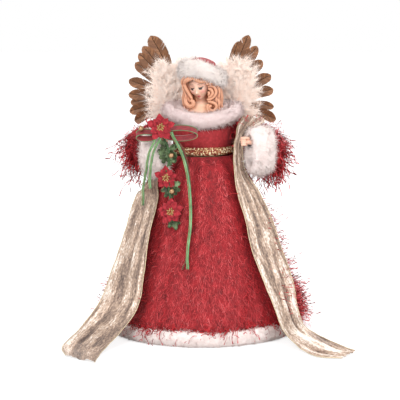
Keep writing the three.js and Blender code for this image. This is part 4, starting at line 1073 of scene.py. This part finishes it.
def bow_loop(side):
    """A loop of red ribbon with a green wire in each edge."""
    node = f"bow_loop_{side}"
    low, high = box(node)
    half = (high - low) / 2
    turn = np.linspace(0, 2 * math.pi, LOOP_STEPS)
    line = (low + high) / 2 + np.stack([half[0] * np.cos(turn), 0.001 * np.sin(turn),
                                        half[2] * LOOP_FLATTENING * np.sin(turn)], 1)
    wide = RIBBON_WIDTH * 0.92
    across = np.tile(np.array([0, math.cos(LOOP_LEAN), math.sin(LOOP_LEAN)]) * wide, (LOOP_STEPS, 1))
    s = np.linspace(-1, 1, 9)[None, :, None]
    grid = line[:, None] + across[:, None] * s / 2
    normal = unit(np.cross(np.gradient(line, axis=0), across))
    grid = grid + normal[:, None] * LOOP_WALL * 0.4 * np.cos(s * 9)
    wired_ribbon(node, line, grid, LOOP_WALL, bow_red, f"{node}_ribbon_wires", loop_green)


TAIL_STEPS = 60
TAIL_WIDTHS = [0.0028, 0.0028, 0.0032, 0.0028]
# The creases across a tail: place across, and how many folds it lies further back
TAIL_CREASES = [(-0.5, 0), (-0.1, 0.4), (0.5, 1), (0, 1.5), (-0.5, 2), (0, 2.5), (0.42, 3)]
TAIL_FOLD = 0.0005
TAIL_WALL = 0.0004
# Which strips between the creases show the green side, on all tails but the last
TAIL_GREENS = [0, 1, 1, 0, 0, 1]


def middle_line(node, groups, count):
    """A curve down the middle of a long solid, from its top to its foot."""
    points = node_points(node)
    points = points[np.argsort(-points[:, 2])]
    return spline([group.mean(0) for group in np.array_split(points, groups)], count)


def tail(number):
    """A tail that is creased along its length, so that it looks half as wide, read off its solid."""
    node = f"bow_tail_{number}"
    last = number == 4
    line = middle_line(node, 14, TAIL_STEPS)
    low, high = box(node)
    line[0, 2], line[-1, 2] = high[2], low[2]
    if last:
        # Its top lies behind tail 3
        line += np.array([0.0036, 0.0022, 0]) * smooth_step(0.098, 0.112, line[:, 2])[:, None]
    twist = 0.35 * np.sin(np.linspace(0, 1, TAIL_STEPS) * 5 + number) + 1.05 * last
    side = np.stack([np.cos(twist), -np.sin(twist), np.zeros(TAIL_STEPS)], 1)
    wide = TAIL_WIDTHS[number - 1]
    grid = [line + side * wide * across + [0, TAIL_FOLD * back, 0] for across, back in TAIL_CREASES]
    grid = np.stack(grid[::-1], 1)
    ribbon = wired_ribbon(node, line, grid, TAIL_WALL, [bow_red, bow_green], f"{node}_wires",
                          stem_tape if last else bow_green)
    green = np.tile(TAIL_GREENS[::-1], TAIL_STEPS - 1) * (not last)
    ribbon.data.polygons.foreach_set("material_index", green.astype(np.int32))


def stem():
    wrap = tube(middle_line("spray_stem", 16, 120), 0.0013, 8, ridges=2, ridge_depth=0.18, twist=60)
    piece("stem_wrap", wrap, stem_tape, ["spray_stem"])


for number in (1, 2, 3):
    flower(number, 50 + number)
for number in (1, 2, 3):
    holly(number, 60 + number)
for number in (1, 2, 3):
    bead(number)
bow_loop("left")
bow_loop("right")
for number in (1, 2, 3, 4):
    tail(number)
stem()

# Head: a moulded doll's head with painted features. Lengths from here to the hands are millimetres.
HEAD_CENTRE = (-3.9, -8.5, 340.6)
HEAD_SCALE = 1.08
HEAD_YAW, HEAD_PITCH, HEAD_ROLL = 18, 8, 10
FACE_RADII = np.array([13.2, 16.4, 18.0])
FACE_RINGS = 110
FACE_COLUMNS = 200
EYE = 5.6
# Forms of the face: across, up, half width, half height, depth. One off the middle is on both sides.
FACE_FORMS = [
    (5.7, 1.5, 3.1, 1.7, -1.9), (5.4, -0.2, 2.2, 1.2, 1.2), (5.2, 4.4, 3.6, 1.1, 0.5),
    (0, -1.5, 1.4, 4.2, 1.9), (0, -6.3, 1.6, 1.6, 3.0), (1.9, -7.2, 0.9, 0.9, 0.9),
    (7.2, -5.6, 3.4, 3.2, 0.9), (0, -10.7, 2.6, 0.8, 1.1), (0, -12.9, 2.1, 0.9, 1.2),
    (0, -11.8, 3.0, 0.4, -0.6), (0, -16.2, 3.2, 2.0, 2.2), (0, -14.4, 2.6, 0.7, -0.8),
]


def head_turn():
    yaw, pitch, roll = (math.radians(angle) for angle in (-HEAD_YAW, HEAD_PITCH, HEAD_ROLL))
    c, s = math.cos, math.sin
    about_z = np.array([[c(yaw), -s(yaw), 0], [s(yaw), c(yaw), 0], [0, 0, 1]])
    about_x = np.array([[1, 0, 0], [0, c(pitch), -s(pitch)], [0, s(pitch), c(pitch)]])
    about_y = np.array([[c(roll), 0, -s(roll)], [0, 1, 0], [s(roll), 0, c(roll)]])
    return about_y @ about_x @ about_z


def face():
    polar = np.pi * np.linspace(0.004, 0.996, FACE_RINGS) ** 1.25
    polar, around = np.meshgrid(polar, round_turn(FACE_COLUMNS), indexing="ij")
    points = np.stack([np.sin(polar) * np.cos(around), -np.cos(polar), np.sin(polar) * np.sin(around)], 2)
    points = (points * FACE_RADII).reshape(-1, 3)
    front = smooth_step(0, 8, -points[:, 1])
    points[:, 0] *= 1 - 0.34 * smooth_step(0, 18, -points[:, 2] - 3)
    points[:, 1] += 2.2 * smooth_step(2, 18, -points[:, 2]) * front
    x, z = points[:, 0], points[:, 2]
    side = np.abs(x)
    paint = np.tile(tint(0xE8BDA6)[:3], (len(points), 1))

    def mound(across, up, wide, high):
        """A soft hill on the face, on both sides where it lies off the middle."""
        return np.exp(-(((side if across else x) - across) / wide) ** 2 - ((z - up) / high) ** 2)

    def dab(code, share):
        paint[:] = paint * (1 - share[:, None]) + np.array(tint(code)[:3]) * share[:, None]

    for *place, depth in FACE_FORMS:
        points[:, 1] -= mound(*place) * depth * front
    # Painted shadow on the forehead under the hat, painted shade in the eye sockets, painted cheeks, painted shade
    # round the face's edge, and painted highlights on the nose and chin
    dab(0xA58070, 0.8 * smooth_step(3, 11, z))
    # Painted shade in the eye sockets
    dab(0xB98272, 0.5 * mound(5.7, 1.6, 3.4, 2.2) * front)
    dab(0xE08C86, 0.6 * mound(7.2, -5.4, 2.9, 2.6) * front)
    # Painted shade round the face's sides and jaw, where the face turns away from the light
    edge = np.sqrt((x / 13.2) ** 2 + ((z + 1) / 24) ** 2)
    dab(0x9A6A5C, 0.85 * smooth_step(0.62, 0.9, edge) * smooth_step(6, 0, z))
    # Painted highlights on the nose and chin
    dab(0xF8DFD2, 0.7 * mound(0, -4.5, 1.0, 3.5) * front)
    dab(0xF2CBB8, 0.7 * mound(0, -16, 3.4, 2.0) * front)
    # Lips, the line between them, and nostrils
    lips = np.maximum(mound(0, -10.9, 3.0, 1.0), mound(0, -12.8, 2.6, 1.2))
    dab(0xC4605F, smooth_step(0.35, 0.6, lips) * front)
    dab(0x8E3B42, 0.8 * smooth_step(0.4, 0.8, mound(0, -11.8, 2.7, 0.32)) * front)
    dab(0x9A6157, 0.6 * smooth_step(0.4, 0.8, mound(1.5, -8.6, 0.6, 0.4)) * front)
    # Eyes under lowered lids, lashes and brows
    lid = -0.1 + 0.05 * (side - EYE) ** 2
    eye = smooth_step(-0.1, 0.25, lid - z) * smooth_step(-0.2, 0.2, z + 2.6 - 0.15 * (side - EYE) ** 2)
    eye *= smooth_step(0, 0.5, 3.1 - np.abs(side - EYE))
    dab(0xD6C2B6, eye * front)
    dab(0x24221C, eye * smooth_step(0, 0.4, 2.1 - np.abs(x - EYE * np.sign(x) + 0.3)) * front)
    lash = smooth_step(0, 0.25, 0.7 - np.abs(z - lid)) * smooth_step(0, 0.5, 3.3 - np.abs(side - EYE))
    dab(0x3A2723, 0.95 * lash * front)
    brow = smooth_step(0, 0.4, 0.6 - np.abs(z - (4.9 - 0.055 * (side - 4.9) ** 2)))
    dab(0x6E4A3A, 0.85 * brow * smooth_step(0, 1, 3.6 - np.abs(side - EYE)) * front)
    points = (points * HEAD_SCALE) @ head_turn().T + HEAD_CENTRE
    part = points * MM, grid_faces(FACE_RINGS, FACE_COLUMNS, wrap=True)[:, ::-1]
    skin = piece("face", part, painted_skin, ["head_bust"])
    set_paint(skin, np.concatenate([paint, np.ones((len(paint), 1))], 1))


face()

# Neck and shoulders, inside the collar: height, half width, half depth, and the middle's place
BUST_RINGS = [
    (299, 25, 19, 0, -2), (303, 24.5, 18.5, 0, -2), (307, 22, 16.5, -0.3, -2), (311, 17, 13, -0.6, -2.5),
    (315, 11.5, 10, -1.0, -3), (319, 8.8, 8.6, -1.4, -3.5), (324, 8.0, 8.2, -2, -4.5), (330, 8.0, 8.4, -2.6, -5.5),
    (338, 8.2, 8.6, -3, -6),
]
BUST_ROWS = 60
BUST_COLUMNS = 96


def bust():
    height, wide, deep, x, y = spline(BUST_RINGS, BUST_ROWS).T[..., None]
    around = round_turn(BUST_COLUMNS)[None]
    hollow = 0.9 * np.exp(-((height - 311) / 3.0) ** 2) * np.exp(-(np.sin(around) / 0.35) ** 2) * (np.cos(around) > 0)
    points = np.stack([x + wide * np.sin(around), y - (deep - hollow) * np.cos(around),
                       np.broadcast_to(height, (BUST_ROWS, BUST_COLUMNS))], 2).reshape(-1, 3)
    faces = grid_faces(BUST_ROWS, BUST_COLUMNS, wrap=True).tolist()
    faces += [list(range(BUST_COLUMNS))[::-1], list(range(len(points) - BUST_COLUMNS, len(points)))]
    # The neck darkens towards its top: painted shadow under the chin
    chest, chin_shadow = (np.array(tint(code)) for code in (0xF6C9AB, 0xB9866F))
    rise = smooth_step(312, 321, points[:, 2:])
    set_paint(piece("bust", (points * MM, faces), painted_skin), chest * (1 - rise) + chin_shadow * rise)


bust()

# Moulded hair: thick grooved locks, joined into one skin. Each lock is its points and its radius.
LOCKS = [
    # Over the forehead, from the parting to the right
    ([(-13.5, -24.5, 351.3), (-8.9, -26.5, 349.6), (-2.9, -26, 347.6), (2.9, -24, 347.7), (9.6, -20.5, 348.8),
      (15.8, -16.5, 346.6), (20.6, -12.5, 341.7)], 2.7),
    ([(-13, -23, 354.5), (-4.8, -24.5, 352.7), (3.4, -22.5, 352), (11.7, -18.5, 351.7), (18.6, -13.5, 348)], 3.2),
    ([(4.1, -22, 343.7), (8.9, -20, 344.4), (14.4, -17.5, 343.9), (19.7, -14.5, 339.2), (22.2, -13, 332.1),
      (22.5, -12, 324.4)], 2.8),
    # The large curl beside the face
    ([(7, -18.5, 339.9), (11.9, -18.8, 340.4), (16.9, -18, 337.3), (18.3, -17.5, 331.2), (15.2, -18, 325.5),
      (9.8, -18.5, 322), (5.6, -18, 321.7)], 2.1),
    ([(7.5, -19, 336.6), (11.4, -19.6, 335.6), (13.6, -19.6, 331.4), (11.7, -19.4, 326.7), (7.8, -18.5, 324.2)], 2.0),
    ([(7.6, -18, 332.7), (9.2, -18.5, 330), (7.6, -18, 326.9)], 1.8),
    # The small curl under it
    ([(7.3, -17.5, 318.9), (12.2, -18.5, 317.8), (17.5, -18, 315.3), (18.8, -18, 310.4), (15, -19, 306.3),
      (10, -20, 307.8), (9.2, -20.5, 312), (12.8, -20, 313)], 2.1),
    ([(7.6, -18.5, 315.4), (6.5, -20, 310), (8.9, -21, 304)], 2.2),
    # Down the right side
    ([(23.3, -7, 339.2), (24.7, -7, 329.5), (23.6, -8, 319.9), (26.1, -9.5, 311.7), (28.9, -11, 302.9)], 2.6),
    ([(19.1, -13, 324.5), (22.2, -13.5, 317.6), (21.6, -14.5, 310.8), (24.9, -15, 302.9)], 2.6),
    ([(23.9, 0, 338.6), (25.6, 0, 323.3), (25.1, -2, 312.4), (28.4, -4, 302.9)], 3.2),
    # From the parting to the left, and down the left side to a curl
    ([(-13.8, -24.5, 351.3), (-18.5, -24, 350.2), (-22.6, -21.5, 348.1), (-24.8, -17.5, 343.6)], 3.0),
    ([(-16.3, -22, 354.4), (-21.9, -19, 352), (-26.2, -14, 347.7), (-28, -10, 342.2)], 3.2),
    ([(-25.1, -15.5, 343.5), (-23, -14.5, 337), (-19.7, -14.5, 331), (-16.6, -15.5, 325.8), (-14.2, -16.5, 321.2)],
     2.2),
    ([(-27.4, -10, 343.5), (-25.8, -10.5, 336.1), (-22.5, -11.5, 329.9), (-20, -13, 324.5)], 2.2),
    ([(-21.9, -10.5, 329), (-23.3, -12, 322.5), (-22.2, -14.5, 315.8), (-17.7, -17, 312.2), (-13.1, -18.5, 314.3),
      (-13.3, -19, 319), (-17.2, -18.5, 320.1)], 2.6),
    ([(-24.5, -5, 330.7), (-25, -6, 321.1), (-23.3, -9.5, 313.1), (-18.6, -14, 308)], 3.0),
]
HAIR_MASSES = [
    ([(-1.5, 3, 352), (-1.5, 3.5, 336), (-1.5, 3, 320), (-1, 2, 302)], 14.5),
    ([(-19.5, -6, 350), (-20.5, -8.5, 336), (-20, -9.5, 320), (-20, -9.5, 302)], 6.4),
    ([(16, -6, 348), (17.2, -9, 336), (17.2, -10, 320), (19, -10, 302)], 7.6),
]
BACK_LOCKS = 11
HAIR_VOXEL = 0.00052


def smoothed(points, quads, rounds):
    """Each point moved to its neighbours' middle, a number of times."""
    for _ in range(rounds):
        total, count = np.zeros_like(points), np.zeros(len(points))
        for k in range(4):
            for other in ((k + 1) % 4, (k + 3) % 4):
                np.add.at(total, quads[:, k], points[quads[:, other]])
                np.add.at(count, quads[:, k], 1)
        points = total / count[:, None]
    return points


def hair():
    parts = []
    share = np.linspace(0, 1, 48)
    swell = 0.45 + 0.55 * np.sin(np.pi * np.clip(share * 0.9 + 0.1, 0, 1)) ** 0.6
    for number, (points, radius) in enumerate(LOCKS):
        parts.append(tube(spline(points, 48), radius * swell * 1.28, 40, 0.86, 5, 0.05, 1.0 + number % 3))
    for points, radius in HAIR_MASSES:
        parts.append(tube(spline(points, 30), radius, 48, 0.9, 9, 0.07, 1.2))
    share = np.linspace(0, 1, 40)
    reach = np.interp(share, [0, 0.2, 0.6, 1], [9, 17.5, 18.5, 21])
    for i in range(BACK_LOCKS):
        turn = math.radians(68 + 224 * i / (BACK_LOCKS - 1)) + 0.16 * np.sin(share * 9 + i * 2.1) * share
        line = np.stack([-1.5 + reach * np.sin(turn) * 1.18, -2 - reach * np.cos(turn) * 1.02, 355 - 54 * share], 1)
        parts.append(tube(line, 4.6 * (1 - 0.3 * share**2), 40, 0.85, 7, 0.12, 3))
    level = 17.6 * np.sin(np.linspace(-1.5, 1.5, 22))
    cap = np.stack([np.full(22, -1.5), np.full(22, 1.0), 340 + level], 1)
    parts.append(tube(cap, 17.8 * np.sqrt(1 - (level / 17.65) ** 2), 60, up=(0, 1, 0)))
    points, quads = rounded_parts(parts, HAIR_VOXEL, 4)
    # How far each point stands out from the smoothed skin: painted shade in the grooves, painted highlight on the
    # crests
    raised = np.sum((points - smoothed(points, quads, 14)) * vertex_normals(points, quads), axis=1)
    piece("hair", (points, quads, np.clip(0.62 + raised / 0.0008, 0, 1)), moulded_hair)


hair()

# Hands: small closed fists, each with a palm, four curled fingers and a thumb
HAND_VOXEL = 0.0004


def hand(side):
    node = f"hand_{side}"
    sign = SIGNS[side]
    low, high = (corner / MM for corner in box(node))
    parts = [
        tube(spline([(10, 3, -2), (6, 2, -1), (1, 1.5, -0.5), (-2.5, 1, 0)], 16), np.linspace(4.4, 4.9, 16), 24, 0.8),
        tube(spline([(5, -0.5, 3.6), (1.5, -4.4, 5.2), (-2.5, -5.6, 4.0)], 14), np.linspace(2.0, 1.4, 14), 16),
    ]
    for k in range(4):
        height = (1.5 - k) * 3.1
        length = 1 - 0.1 * abs(k - 1.2)
        finger = spline([(3, 2.2, height), (-3.2, 1.6, height), (-5.8 * length, -1.6, height * 0.96),
                         (-3.6, -4.6, height * 0.9), (0.6, -4.6, height * 0.88)], 24)
        parts.append(tube(finger, 1.62 * (1 - 0.14 * np.linspace(0, 1, 24)), 16))
    parts = [(points * [sign, 1, 1] + (low + high) / 2, [face[::sign] for face in faces]) for points, faces in parts]
    piece(f"{node}_fist", rounded_parts(parts, HAND_VOXEL, 3), peach_skin, [node])


hand("left")
hand("right")

# Hidden frame: these solids stay as they are and take their finishes
for node, finish in [
    ("cone_body", card), ("wing_backing_left", card), ("wing_backing_right", card),
    ("torso_core", padding), ("neck_post", peg_wood), ("arm_wire", steel),
]:
    for material_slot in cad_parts[node].material_slots:
        material_slot.material = finish

# Floor, surroundings and lamps
WHITE = (1, 1, 1, 1)
FLOOR_HALF = 6.0
FLOOR_GLOW = 0.75
WORLD_STRENGTH = 1.04
LAMP_TARGET = Vector((0, 0, 0.2))
# Name, place, size and power
LAMPS = [("key", (-0.8, -2.2, 1.6), 0.9, 25), ("fill", (1.5, -1.7, 1.2), 1.2, 19), ("back", (0.3, 1.8, 1.5), 1.0, 14)]


def greatest(tree, *sockets):
    """The greatest of some values, as a socket."""
    first, *others = sockets
    for other in others:
        first = add_node(tree, "ShaderNodeMath", {0: first, 1: other}, operation="MAXIMUM").outputs[0]
    return first


def floor():
    """A floor that looks white, keeps the object's shadow, and lights the object as a pale floor does."""
    finish = Finish("stage_white", 0.9)
    path = finish.node("ShaderNodeLightPath").outputs
    seen = greatest(finish.tree, path["Is Camera Ray"], path["Is Glossy Ray"], path["Is Transmission Ray"])
    plain = finish.node("ShaderNodeBsdfDiffuse", {"Color": tint(0xE0E0E0)})
    shown = finish.node("ShaderNodeBsdfDiffuse", {"Color": tint(0xA8A8A8)})
    glow = finish.node("ShaderNodeEmission", {"Color": WHITE, "Strength": FLOOR_GLOW})
    lit = finish.node("ShaderNodeAddShader", {0: shown.outputs[0], 1: glow.outputs[0]})
    both = finish.node("ShaderNodeMixShader", {0: seen, 1: plain.outputs[0], 2: lit.outputs[0]})
    finish.tree.links.new(both.outputs[0], finish.tree.nodes["Material Output"].inputs["Surface"])
    mesh = bpy.data.meshes.new("floor")
    corners = [(x * FLOOR_HALF, y * FLOOR_HALF, 0) for x, y in [(-1, -1), (1, -1), (1, 1), (-1, 1)]]
    mesh.from_pydata(corners, [], [(0, 1, 2, 3)])
    mesh.materials.append(finish.material)
    add_object("floor", mesh)


def surroundings():
    """Soft light from all round, and plain white where the camera sees past the floor."""
    world = bpy.data.worlds.new("studio")
    scene.world = world
    world.use_nodes = True
    tree = world.node_tree
    soft = tree.nodes["Background"]
    soft.inputs["Color"].default_value = WHITE
    soft.inputs["Strength"].default_value = WORLD_STRENGTH
    white = add_node(tree, "ShaderNodeBackground", {"Color": WHITE, "Strength": 1.0})
    path = add_node(tree, "ShaderNodeLightPath").outputs
    seen = greatest(tree, path["Is Camera Ray"], path["Is Transmission Ray"])
    both = add_node(tree, "ShaderNodeMixShader", {0: seen, 1: soft.outputs[0], 2: white.outputs[0]})
    tree.links.new(both.outputs[0], tree.nodes["World Output"].inputs["Surface"])


floor()
surroundings()
for name, place, size, power in LAMPS:
    lamp = bpy.data.lights.new(name, "AREA")
    lamp.size = size
    lamp.energy = power
    add_object(name, lamp, place, (LAMP_TARGET - Vector(place)).to_track_quat("-Z", "Y").to_euler())
